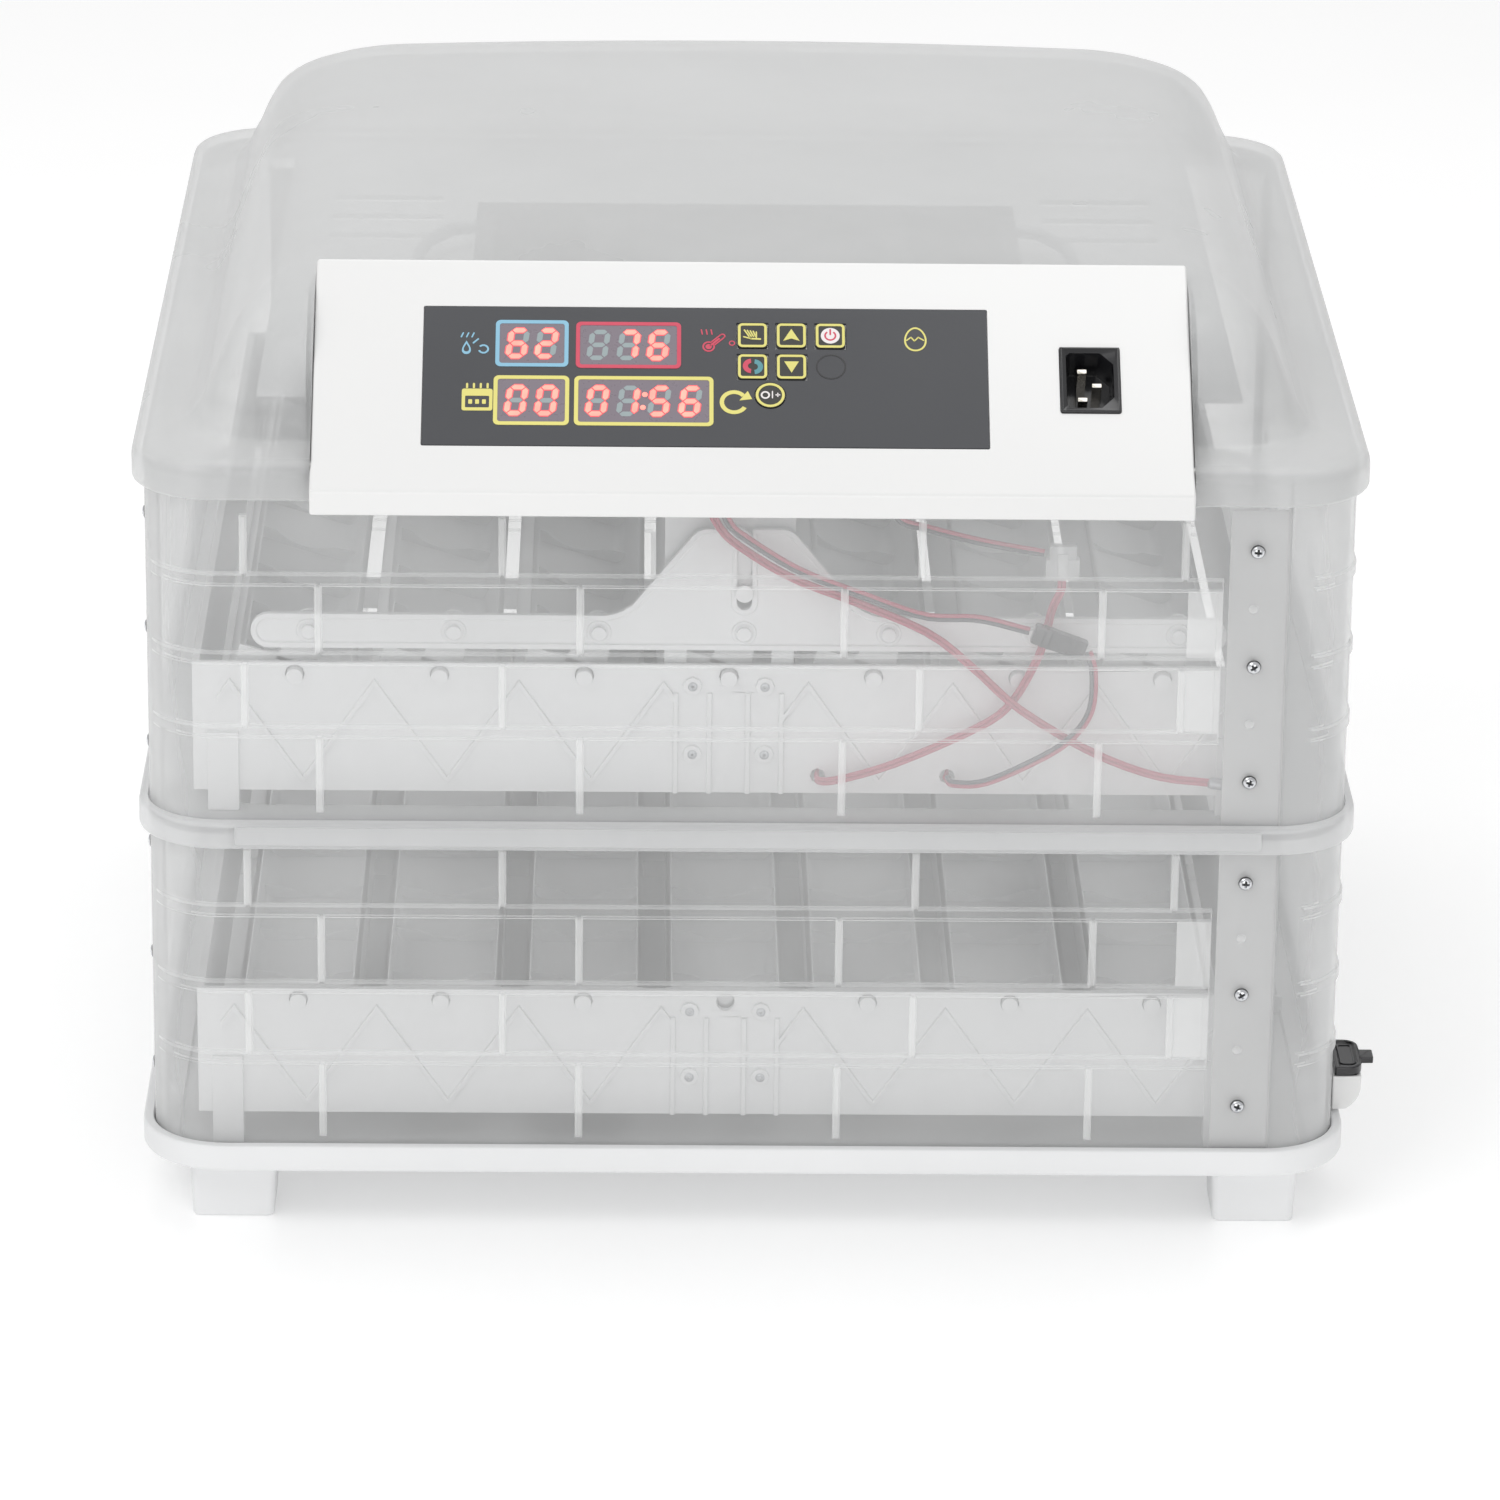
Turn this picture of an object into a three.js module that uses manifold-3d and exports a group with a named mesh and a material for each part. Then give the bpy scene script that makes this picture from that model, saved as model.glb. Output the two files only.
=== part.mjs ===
// A two-tier egg incubator with a rocking egg turner in each tier.
// Units are millimetres, +Z is up, +X is to the right and +Y goes to the back.
// The housing is drawn centred on the Z axis; the last lines move the whole model so that the
// middle of its outer box stands there instead.
import * as THREE from "three";
import { mergeVertices } from "three/addons/utils/BufferGeometryUtils.js";
import Module from "manifold-3d";

const wasm = await Module();
wasm.setup();

// ---------------------------------------------------------------- driving dimensions
const GAP = 0.3; // between two pieces that touch
const SLIP = 0.6; // between a wall and the rim that holds its edge
const DEGREE = Math.PI / 180;

const FOOT_HEIGHT = 27;
const FOOT_SIZE = 34.5;
const FOOT_TAPER = 1; // how much wider the top is, on each side

const WALL_HALF = 250; // from the middle to a wall's outer face
const WALL_RADIUS = 31;
const WALL_THICKNESS = 2.2;
const WALL_LAP = 2.5; // how far a wall's end tongue lies inside the next wall
const WALL_END = 221; // where a wall's outer end stops, from the middle
const TONGUE_END = 196.4;

const BASE_HALF = 255;
const BASE_TOP = 39;
const RING_HALF = 254.5;
const RING_BOTTOM = 172.8;
const RING_TOP = 184.8;
const RING_OPENING = 222;
const LID_HALF = 255;
const LID_BOTTOM = 325.5;
const LID_CEILING = 336; // underside of the flange over the wall tops

const TIER_FLOORS = { lower: 38.8, upper: RING_TOP };
const RIB_HEIGHTS = [38.5, 70.7, 105]; // above a tier's floor
const RIB_SIZE = 5;
const RIB_DEPTH = 1;
const UPRIGHT_RIB = 2.4;
const RIB_START = 204; // angle round a wall's own corner where its level ribs begin
const RIB_END = 194; // they stop short of the lap strip

// The egg turner, with heights above a tier's floor.
const TRAY_X = -8.4;
const TRAY_HALF_X = 222.6;
const TRAY_HALF_Y = 229;
const TRAY_BOTTOM = 5;
const TRAY_TOP = 61.5;
const TRAY_PLATE = 3;
const CHANNELS = 7;
const PITCH = 60;
const PIVOT_HEIGHT = 56.5;
const LINK = 20.6; // from a channel's pivot to its drive pin
const UPPER_TILT = 17 * DEGREE;
const CRANK_HEIGHT = 110;
const CRANK_THROW = 17;
const BAR_Y = 229.5; // middle of a drive bar's thickness
const BAR_PLATE = 3;
const BAR_HEIGHT = 15;

// The control box: a wedge whose face slopes from its front edge up to its top edge.
const BOX_HALF = 180;
const BOX_FRONT = -267;
const BOX_BACK = -175;
const BOX_SKIRT = 323.5;
const FACE_LOW = 334;
const FACE_HIGH = 404.7;
const BOX_FLOOR = 341.6;
const FACE_TILT = Math.atan2(FACE_HIGH - FACE_LOW, BOX_BACK - BOX_FRONT);
const FACE_WALL = 2.8;
const RECESS = 1.2; // depth of the pocket that holds the display overlay

// ---------------------------------------------------------------- materials
function plastic(color, roughness, opacity = 1) {
  return new THREE.MeshStandardMaterial({
    color,
    roughness,
    metalness: 0,
    transparent: opacity < 1,
    opacity,
  });
}

const CLEAR = plastic(0xdfe3e3, 0.25, 0.45);
const MILKY = plastic(0xe9eaea, 0.35, 0.8);
const WHITE = plastic(0xf4f5f5, 0.45);
const GLOSS_WHITE = plastic(0xfbfbfb, 0.2);
const BLACK = plastic(0x17181a, 0.35);
const OVERLAY_GREY = plastic(0x3e4144, 0.4);
const KEY_GREY = plastic(0x35383b, 0.45);
const RED_WIRE = plastic(0xb5545c, 0.5);
const STEEL = new THREE.MeshStandardMaterial({ color: 0xb9bcc0, roughness: 0.3, metalness: 1 });
const BRASS = new THREE.MeshStandardMaterial({ color: 0xc8b27a, roughness: 0.35, metalness: 1 });

// ---------------------------------------------------------------- solids
function toSolid(geometry) {
  const plain = geometry.index ? geometry.toNonIndexed() : geometry;
  const bare = new THREE.BufferGeometry();
  bare.setAttribute("position", plain.getAttribute("position"));
  const merged = mergeVertices(bare, 1e-4);
  return new wasm.Manifold(
    new wasm.Mesh({
      numProp: 3,
      vertProperties: merged.attributes.position.array,
      triVerts: new Uint32Array(merged.index.array),
    }),
  );
}

function toGeometry(solid) {
  const mesh = solid.getMesh();
  const geometry = new THREE.BufferGeometry();
  geometry.setAttribute("position", new THREE.BufferAttribute(mesh.vertProperties, 3));
  geometry.setIndex(new THREE.BufferAttribute(mesh.triVerts, 1));
  geometry.computeVertexNormals();
  return geometry;
}

function joined(solids) {
  return solids.reduce((whole, solid) => whole.add(solid));
}

function without(solid, cuts) {
  return cuts.reduce((rest, cut) => rest.subtract(cut), solid);
}

function block(x0, x1, y0, y1, z0, z1) {
  const box = new THREE.BoxGeometry(x1 - x0, y1 - y0, z1 - z0);
  return toSolid(box.translate((x0 + x1) / 2, (y0 + y1) / 2, (z0 + z1) / 2));
}

// An outline in X and Y, raised from z0 to z1.
function prism(points, z0, z1) {
  const shape = new THREE.Shape(points);
  const geometry = new THREE.ExtrudeGeometry(shape, { depth: z1 - z0, bevelEnabled: false });
  return toSolid(geometry.translate(0, 0, z0));
}

// An outline in X and Z, given a thickness from y0 to y1.
function upright(points, y0, y1) {
  const shape = new THREE.Shape(points);
  const geometry = new THREE.ExtrudeGeometry(shape, { depth: y1 - y0, bevelEnabled: false });
  return toSolid(geometry.rotateX(90 * DEGREE).translate(0, y1, 0));
}

// An outline in Y and Z, given a width from x0 to x1.
function crosswise(points, x0, x1) {
  const shape = new THREE.Shape(points);
  const geometry = new THREE.ExtrudeGeometry(shape, { depth: x1 - x0, bevelEnabled: false });
  const turn = new THREE.Matrix4().makeBasis(
    new THREE.Vector3(0, 1, 0),
    new THREE.Vector3(0, 0, 1),
    new THREE.Vector3(1, 0, 0),
  );
  return toSolid(geometry.applyMatrix4(turn).translate(x0, 0, 0));
}

function points(pairs) {
  return pairs.map(([a, b]) => new THREE.Vector2(a, b));
}

function arc(centreA, centreB, radius, from, to, steps) {
  return Array.from({ length: steps + 1 }, (_, i) => {
    const angle = (from + ((to - from) * i) / steps) * DEGREE;
    return new THREE.Vector2(
      centreA + radius * Math.cos(angle),
      centreB + radius * Math.sin(angle),
    );
  });
}

function roundedSquare(half, radius, steps = 6) {
  const c = half - radius;
  return [
    ...arc(c, c, radius, 0, 90, steps),
    ...arc(-c, c, radius, 90, 180, steps),
    ...arc(-c, -c, radius, 180, 270, steps),
    ...arc(c, -c, radius, 270, 360, steps),
  ];
}

// A rounded square that keeps the walls' corner centres, raised from z0 to z1.
function roundedPlate(half, z0, z1) {
  return prism(roundedSquare(half, half - WALL_HALF + WALL_RADIUS), z0, z1);
}

// A round bar along Y.
function pin(x, z, radius, y0, y1, sides = 8) {
  return upright(arc(x, z, radius, 0, 360 - 360 / sides, sides - 1), y0, y1);
}

// A round bar along Z.
function post(x, y, radius, z0, z1, sides = 16) {
  return prism(arc(x, y, radius, 0, 360 - 360 / sides, sides - 1), z0, z1);
}

// A closed solid through rounded squares, each given as [half width, corner radius, height].
function stack(levels, topHeight) {
  const steps = 6;
  const rings = levels.map(([half, radius, height]) =>
    roundedSquare(half, radius, steps).map((p) => [p.x, p.y, height]),
  );
  const count = rings[0].length;
  const vertices = rings.flat(2);
  const lowest = rings.length * count;
  const highest = lowest + 1;
  vertices.push(0, 0, levels[0][2], 0, 0, topHeight);
  const faces = [];
  for (let i = 0; i < count; i++) {
    const next = (i + 1) % count;
    for (let level = 0; level + 1 < rings.length; level++) {
      const low = level * count;
      const high = low + count;
      faces.push(low + i, low + next, high + next);
      faces.push(low + i, high + next, high + i);
    }
    const last = (rings.length - 1) * count;
    faces.push(lowest, next, i);
    faces.push(highest, last + i, last + next);
  }
  const geometry = new THREE.BufferGeometry();
  geometry.setAttribute("position", new THREE.Float32BufferAttribute(vertices, 3));
  geometry.setIndex(faces);
  return toSolid(geometry);
}

// A tube of flattened round section along a smooth curve.
function tube(route, halfWidth, halfHeight, steps, sides = 8) {
  const curve = new THREE.CatmullRomCurve3(route.map((p) => new THREE.Vector3(...p)));
  const section = new THREE.Shape(
    Array.from({ length: sides }, (_, i) => {
      const angle = (i / sides) * 360 * DEGREE;
      return new THREE.Vector2(halfWidth * Math.cos(angle), halfHeight * Math.sin(angle));
    }),
  );
  return toSolid(new THREE.ExtrudeGeometry(section, { steps, extrudePath: curve }));
}

// ---------------------------------------------------------------- the scene graph
const group = new THREE.Group();

function place(name, solid, material, parent = group) {
  const mesh = new THREE.Mesh(toGeometry(solid), material);
  mesh.name = name;
  parent.add(mesh);
  return mesh;
}

// ---------------------------------------------------------------- base and feet
const WALL_SEAT = { lower: 32, upper: 181 };

function basePan() {
  const corner = BASE_HALF - WALL_HALF + WALL_RADIUS;
  const outside = stack(
    [
      [BASE_HALF - 2, corner - 2, FOOT_HEIGHT],
      [BASE_HALF, corner, FOOT_HEIGHT + 2],
      [BASE_HALF, corner, BASE_TOP],
    ],
    BASE_TOP,
  );
  const floor = FOOT_HEIGHT + 3;
  const troughWalls = [-80, 80].map((y) => block(-241, 241, y - 1.2, y + 1.2, floor - 1, floor + 8));
  const shell = without(outside, [
    roundedPlate(WALL_HALF + SLIP, WALL_SEAT.lower, BASE_TOP + 1),
    roundedPlate(WALL_HALF - 10, floor, WALL_SEAT.lower + 1),
  ]);
  return joined([shell, ...troughWalls]);
}

function foot() {
  const half = FOOT_SIZE / 2;
  const radius = 3;
  const height = FOOT_HEIGHT - GAP;
  return stack(
    [
      [half - 0.8, radius - 0.8, 0],
      [half, radius, 0.8],
      [half + FOOT_TAPER, radius, height],
    ],
    height,
  );
}

place("base_pan", basePan(), WHITE);
const FOOT_X = { left: -216.2, right: 216.8 };
const FOOT_Y = { front: -222.5, back: 222.5 };
for (const [depth, y] of Object.entries(FOOT_Y)) {
  for (const [side, x] of Object.entries(FOOT_X)) {
    place(`foot_${depth}_${side}`, foot(), WHITE).position.set(x, y, 0);
  }
}

// ---------------------------------------------------------------- walls
// A wall covers one face and the rounded corner to its left. Its left end is a tongue that
// lies inside the next wall's right end, so four equal walls close the tier.
const CORNER = WALL_HALF - WALL_RADIUS;
const END_ANGLE = Math.asin((WALL_END - CORNER) / WALL_RADIUS) / DEGREE;
const STEP_ANGLE = 180 + END_ANGLE + 0.6;

function wallPlan() {
  const outer = WALL_RADIUS;
  const inner = WALL_RADIUS - WALL_THICKNESS;
  const outerTongue = outer - WALL_LAP;
  const innerTongue = inner - WALL_LAP;
  return [
    ...arc(CORNER, -CORNER, outer, END_ANGLE - 90, -90, 2),
    ...arc(-CORNER, -CORNER, outer, 270, STEP_ANGLE, 6),
    ...arc(-CORNER, -CORNER, outerTongue, STEP_ANGLE, 180, 2),
    ...points([
      [-CORNER - outerTongue, -TONGUE_END],
      [-CORNER - innerTongue, -TONGUE_END],
    ]),
    ...arc(-CORNER, -CORNER, innerTongue, 180, STEP_ANGLE + 4, 2),
    ...arc(-CORNER, -CORNER, inner, STEP_ANGLE + 4, 270, 6),
    ...arc(CORNER, -CORNER, inner, -90, END_ANGLE - 90, 2),
  ];
}

function ribPlan() {
  const outer = WALL_RADIUS + RIB_DEPTH;
  const inner = WALL_RADIUS - 1;
  return [
    new THREE.Vector2(RIB_END, -CORNER - outer),
    ...arc(-CORNER, -CORNER, outer, 270, RIB_START, 6),
    ...arc(-CORNER, -CORNER, inner, RIB_START, 270, 6),
    new THREE.Vector2(RIB_END, -CORNER - inner),
  ];
}

// Upright ribs stand between the level ribs, staggered from one band to the next.
const RIB_ROWS = [
  [-177.5, -70, 38.5, 144.5],
  [-208, -102, 70, 178],
];

function uprightRibs(bandEdges) {
  const front = -WALL_HALF - RIB_DEPTH;
  const endRib = block(RIB_END - UPRIGHT_RIB, RIB_END, front, 1 - WALL_HALF, bandEdges[1], bandEdges.at(-2));
  const ribs = [endRib];
  for (let band = 0; band + 1 < bandEdges.length; band++) {
    for (const x of RIB_ROWS[band % 2]) {
      const half = UPRIGHT_RIB / 2;
      ribs.push(block(x - half, x + half, front, 1 - WALL_HALF, bandEdges[band], bandEdges[band + 1]));
    }
  }
  return ribs;
}

function wall(floor, bottom, top) {
  const sheet = prism(wallPlan(), bottom, top);
  const levels = RIB_HEIGHTS.map((height) => floor + height);
  const bands = levels.map((z) => prism(ribPlan(), z - RIB_SIZE / 2, z + RIB_SIZE / 2));
  const edges = [floor + 3, ...levels, floor + 133];
  return joined([sheet, ...bands, ...uprightRibs(edges)]);
}

const WALL_TOP = { lower: RING_BOTTOM + 4.9, upper: LID_CEILING - GAP };
const WALL_TURNS = { front: 0, right: 90, back: 180, left: 270 };
for (const [tier, floor] of Object.entries(TIER_FLOORS)) {
  for (const [side, turn] of Object.entries(WALL_TURNS)) {
    const solid = wall(floor, WALL_SEAT[tier] + GAP, WALL_TOP[tier]);
    place(`${tier}_wall_${side}`, solid, CLEAR).rotation.z = turn * DEGREE;
  }
}

function middleFrame() {
  const radius = WALL_RADIUS + RING_HALF - WALL_HALF;
  const outside = stack(
    [
      [RING_HALF - 1, radius - 1, RING_BOTTOM],
      [RING_HALF, radius, RING_BOTTOM + 1],
      [RING_HALF, radius, RING_TOP - 2],
      [RING_HALF - 1, radius - 1, RING_TOP],
    ],
    RING_TOP,
  );
  return without(outside, [
    roundedPlate(WALL_HALF + SLIP, RING_BOTTOM - 1, WALL_TOP.lower + GAP),
    roundedPlate(WALL_HALF + SLIP, WALL_SEAT.upper, RING_TOP + 1),
    prism(roundedSquare(RING_OPENING, 20, 3), RING_BOTTOM, RING_TOP),
  ]);
}

place("middle_frame", middleFrame(), MILKY);

// ---------------------------------------------------------------- lid
// Half width, corner radius and height up the outside of the lid, and the same inside it.
const LID_CORNER = LID_HALF - WALL_HALF + WALL_RADIUS;
const LID_OUTSIDE = [
  [LID_HALF, LID_CORNER, LID_BOTTOM],
  [LID_HALF, LID_CORNER, 336.5],
  [LID_HALF - 1.6, LID_CORNER - 1.6, 339.6],
  [LID_HALF - 5, LID_CORNER - 3, 341],
  [233.5, 37, 343.2],
  [229.5, 36, 346.5],
  [225.5, 36, 354],
  [221.5, 36, 363],
  [216.5, 35, 376],
  [209.5, 34, 387],
  [198, 33, 395.5],
  [181, 31, 400.8],
  [148, 28, 403.4],
  [80, 20, 405.2],
];
const LID_CROWN = 406;
const LID_INSIDE = [
  [WALL_HALF + SLIP, WALL_RADIUS + SLIP, LID_BOTTOM - 1],
  [WALL_HALF + SLIP, WALL_RADIUS + SLIP, LID_CEILING],
  [243, 33, 337.6],
  [229, 33, 339.8],
  [222, 33, 354.5],
  [213, 32, 374.6],
  [195, 31, 392.4],
  [146, 26, 400],
];
const NICHE_FLOOR = BOX_FLOOR - GAP;
const LID_SKIN = 2.8;
const WIRE_HOLES = [
  [-16.5, -240.5],
  [59, -240.5],
];

function lidShell() {
  const niche = block(-BOX_HALF - GAP, BOX_HALF + GAP, -260, BOX_BACK + GAP, NICHE_FLOOR, 420);
  const nicheWall = block(
    -BOX_HALF - GAP - LID_SKIN,
    BOX_HALF + GAP + LID_SKIN,
    -260,
    BOX_BACK + GAP + LID_SKIN,
    NICHE_FLOOR - LID_SKIN,
    420,
  );
  const hollow = stack(LID_INSIDE, 403).subtract(nicheWall);
  const holes = WIRE_HOLES.map(([x, y]) => post(x, y, 7, LID_CEILING, NICHE_FLOOR + 1, 12));
  return without(stack(LID_OUTSIDE, LID_CROWN), [niche, hollow, ...holes]);
}

place("lid_shell", lidShell(), MILKY);

// ---------------------------------------------------------------- warm-air unit under the lid
const FAN_X = 0;
const FAN_Y = -38;
const PLATE_BOTTOM = 342;
const PLATE_TOP = 344.5;
const FAN_BOTTOM = PLATE_TOP + GAP;
const FAN_TOP = FAN_BOTTOM + 25;

function innerPlate() {
  const plate = block(-206, 206, -168, 206, PLATE_BOTTOM, PLATE_TOP);
  const grille = [];
  for (let i = -4; i <= 4; i++) {
    const y = FAN_Y + i * 12;
    const reach = Math.sqrt(56 ** 2 - (i * 12) ** 2);
    grille.push(block(FAN_X - reach, FAN_X + reach, y - 3.5, y + 3.5, PLATE_BOTTOM - 1, PLATE_TOP + 1));
  }
  const returns = [-160, 160].flatMap((x) =>
    [60, 90, 120].map((y) => block(x - 25, x + 25, y - 5, y + 5, PLATE_BOTTOM - 1, PLATE_TOP + 1)),
  );
  return without(plate, [...grille, ...returns]);
}

function fanFrame() {
  const duct = block(FAN_X - 118, FAN_X + 118, FAN_Y - 66, FAN_Y + 66, FAN_BOTTOM, FAN_TOP);
  const bore = post(FAN_X, FAN_Y, 60, FAN_BOTTOM - 1, FAN_TOP + 1, 32);
  const windows = [-90, 90].map((x) =>
    block(x - 20, x + 20, FAN_Y - 50, FAN_Y + 50, FAN_BOTTOM - 1, FAN_TOP + 1),
  );
  const spider = [45, 135].map((angle) =>
    block(-62, 62, -3, 3, FAN_TOP - 3, FAN_TOP).rotate([0, 0, angle]).translate([FAN_X, FAN_Y, 0]),
  );
  const hub = post(FAN_X, FAN_Y, 16, FAN_TOP - 3, FAN_TOP, 16);
  return joined([without(duct, [bore, ...windows]), ...spider, hub]);
}

function fanRotor() {
  const low = FAN_BOTTOM + 2;
  const hub = post(FAN_X, FAN_Y, 20, low, FAN_TOP - 3 - GAP, 20);
  const blades = Array.from({ length: 7 }, (_, i) =>
    block(16, 57, -1, 1, -9, 9)
      .rotate([52, 0, 0])
      .rotate([0, 0, (i * 360) / 7])
      .translate([FAN_X, FAN_Y, low + 9]),
  );
  return joined([hub, ...blades]);
}

function heater() {
  const z = PLATE_TOP + 9;
  const foot = PLATE_TOP + GAP;
  const route = [
    [-20, FAN_Y + 84, foot],
    [-20, FAN_Y + 84, z - 3],
    [-30, FAN_Y + 84, z],
    [-120, FAN_Y + 84, z],
    [-138, FAN_Y + 66, z],
    [-138, FAN_Y - 66, z],
    [-120, FAN_Y - 84, z],
    [120, FAN_Y - 84, z],
    [138, FAN_Y - 66, z],
    [138, FAN_Y + 66, z],
    [120, FAN_Y + 84, z],
    [30, FAN_Y + 84, z],
    [20, FAN_Y + 84, z - 3],
    [20, FAN_Y + 84, foot],
  ];
  return tube(route, 3, 3, 42, 6);
}

place("lid_inner_plate", innerPlate(), WHITE);
place("fan_frame", fanFrame(), BLACK);
place("fan_rotor", fanRotor(), BLACK);
place("heater_element", heater(), STEEL);

// ---------------------------------------------------------------- control box
const faceGroup = new THREE.Group();
faceGroup.position.set(0, BOX_FRONT, FACE_LOW);
faceGroup.rotation.x = FACE_TILT;
group.add(faceGroup);

// The same turn and place as the face group, for cuts in pieces drawn upright.
function onFace(solid) {
  return solid.rotate([FACE_TILT / DEGREE, 0, 0]).translate([0, BOX_FRONT, FACE_LOW]);
}

// Places on the sloping face: X from the middle, Y up the slope.
const OVERLAY = { left: -135, right: 96.5, low: 23, high: 92 };
const INLET = { x: 138.4, y: 57.2, width: 24.6, height: 32.5, depth: 19, wall: 2.2, floor: 3 };
const KEY_SIZE = 12.4;
const KEYS = [
  { name: "key_turn", x: 0, y: 78.2 },
  { name: "key_up", x: 16, y: 78.2 },
  { name: "key_power", x: 32, y: 78.2 },
  { name: "key_mode", x: 0, y: 62.6 },
  { name: "key_down", x: 16, y: 62.6 },
  { name: "key_set", x: 7.2, y: 48.4, round: true },
];
const KEY_DEPTH = 3.6;
const KEY_RISE = 0.4; // above the overlay

function keyBody(key, extra, low, high) {
  if (key.round) return post(key.x, key.y, KEY_SIZE / 2 + extra, low, high, 20);
  const half = KEY_SIZE / 2 + extra;
  return block(key.x - half, key.x + half, key.y - half, key.y + half, low, high);
}

function keyOpenings(low, high) {
  return KEYS.map((key) => keyBody(key, GAP, low, high));
}

function inletRim(grow) {
  const half = INLET.width / 2 + grow;
  const tall = INLET.height / 2 + grow;
  return points([
    [INLET.x - half, INLET.y - tall],
    [INLET.x + half, INLET.y - tall],
    [INLET.x + half, INLET.y + tall],
    [INLET.x - half, INLET.y + tall],
  ]);
}

// The socket inside the rim has its two right corners cut off.
function inletSocket() {
  const half = INLET.width / 2 - INLET.wall;
  const tall = INLET.height / 2 - INLET.wall;
  const cut = 5;
  return points([
    [INLET.x - half, INLET.y - tall],
    [INLET.x + half - cut, INLET.y - tall],
    [INLET.x + half, INLET.y - tall + cut],
    [INLET.x + half, INLET.y + tall - cut],
    [INLET.x + half - cut, INLET.y + tall],
    [INLET.x - half, INLET.y + tall],
  ]);
}

function boxCover() {
  const skirtBack = -LID_HALF - 0.6;
  const slope = Math.tan(FACE_TILT);
  const drop = FACE_WALL / Math.cos(FACE_TILT);
  const cavityBack = BOX_BACK - 2.7;
  const cavityFloor = BOX_FLOOR - 0.5;
  const cavityHigh = FACE_LOW + (cavityBack - BOX_FRONT) * slope - drop;
  const cavityFront = BOX_FRONT + (cavityFloor - FACE_LOW + drop) / slope;
  const outside = crosswise(
    points([
      [BOX_FRONT, BOX_SKIRT],
      [skirtBack, BOX_SKIRT],
      [skirtBack, BOX_FLOOR],
      [BOX_BACK, BOX_FLOOR],
      [BOX_BACK, FACE_HIGH],
      [BOX_FRONT, FACE_LOW],
    ]),
    -BOX_HALF,
    BOX_HALF,
  );
  const cavity = crosswise(
    points([
      [cavityFront, cavityFloor],
      [cavityBack, cavityFloor],
      [cavityBack, cavityHigh],
    ]),
    2.5 - BOX_HALF,
    BOX_HALF - 2.5,
  );
  const pocket = block(
    OVERLAY.left - GAP,
    OVERLAY.right + GAP,
    OVERLAY.low - GAP,
    OVERLAY.high + GAP,
    -RECESS,
    5,
  );
  const socketHole = prism(inletRim(GAP), -FACE_WALL - 3, 5);
  const faceCuts = [pocket, socketHole, ...keyOpenings(-FACE_WALL - 3, 5)].map(onFace);
  return without(outside, [cavity, ...faceCuts]);
}

function boxBase() {
  return block(-177, 177, -248, BOX_BACK - 3, BOX_FLOOR + 0.2, BOX_FLOOR + 2.2);
}

function overlayPlate() {
  const plate = block(OVERLAY.left, OVERLAY.right, OVERLAY.low, OVERLAY.high, GAP - RECESS, 0.2);
  return without(plate, keyOpenings(-RECESS - 1, 2));
}

function inlet() {
  const body = prism(inletRim(0), -INLET.depth, 1);
  return body.subtract(prism(inletSocket(), INLET.floor - INLET.depth, 2));
}

// Three contact blades on the plate that holds them at the bottom of the socket.
function inletPins() {
  const back = INLET.floor - INLET.depth + GAP;
  const bladeLength = 12;
  const plate = block(INLET.x - 5, INLET.x + 5, INLET.y - 9, INLET.y + 9, back, back + 2);
  const blades = [
    [-3, -7],
    [-3, 7],
    [3, 0],
  ].map(([dx, dy]) => {
    const x = INLET.x + dx;
    const y = INLET.y + dy;
    return block(x - 2, x + 2, y - 1, y + 1, back + 1, back + bladeLength);
  });
  return joined([plate, ...blades]);
}

place("control_box_cover", boxCover(), GLOSS_WHITE);
place("control_box_base", boxBase(), WHITE);
place("display_overlay", overlayPlate(), OVERLAY_GREY, faceGroup);
place("power_inlet", inlet(), BLACK, faceGroup);
place("inlet_pins", inletPins(), BRASS, faceGroup);
for (const key of KEYS) {
  place(key.name, keyBody(key, 0, -KEY_DEPTH, 0.2 + KEY_RISE), KEY_GREY, faceGroup);
}

// ---------------------------------------------------------------- egg turner
const FIRST_PIVOT = TRAY_X - ((CHANNELS - 1) / 2) * PITCH;
const PIVOTS = Array.from({ length: CHANNELS }, (_, i) => FIRST_PIVOT + i * PITCH);
const CHANNEL_END = 221;
const PIN_END = 232.8;
const SHORT_PIN_END = 224;
const PIVOT_PIN = 3.5;
const DRIVE_PIN = 3;
const SCREW_SPREAD = 15;
const ZIGZAG_SHIFT = 3; // how far the zigzag's low points stand to the right of the pivots
const SCREW_ROWS = [22.5, 52.5];
const RIB_PROUD = 1.6;
const WIRE_PORTS = { lower: [], upper: [29, 83] };
const WIRE_PORT_HEIGHT = 12.8;

// A zigzag strip from x0 to x1. It is low near the pivots and high halfway between them.
function zigzag(x0, x1, low, high, y0, y1) {
  const thickness = 1.6;
  const start = FIRST_PIVOT + ZIGZAG_SHIFT;
  const xs = [];
  for (let x = start - PITCH; x <= start + PITCH * CHANNELS; x += PITCH / 2) {
    if (x > x0 && x < x1) xs.push(x);
  }
  const heightAt = (x) => {
    const phase = Math.abs(((x - start) / PITCH + 10) % 1);
    return low + (high - low) * 2 * Math.min(phase, 1 - phase);
  };
  const line = [x0, ...xs, x1];
  const under = line.map((x) => [x, heightAt(x) - thickness]);
  const over = line.map((x) => [x, heightAt(x) + thickness]);
  return upright(points([...under, ...over.reverse()]), y0, y1);
}

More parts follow.
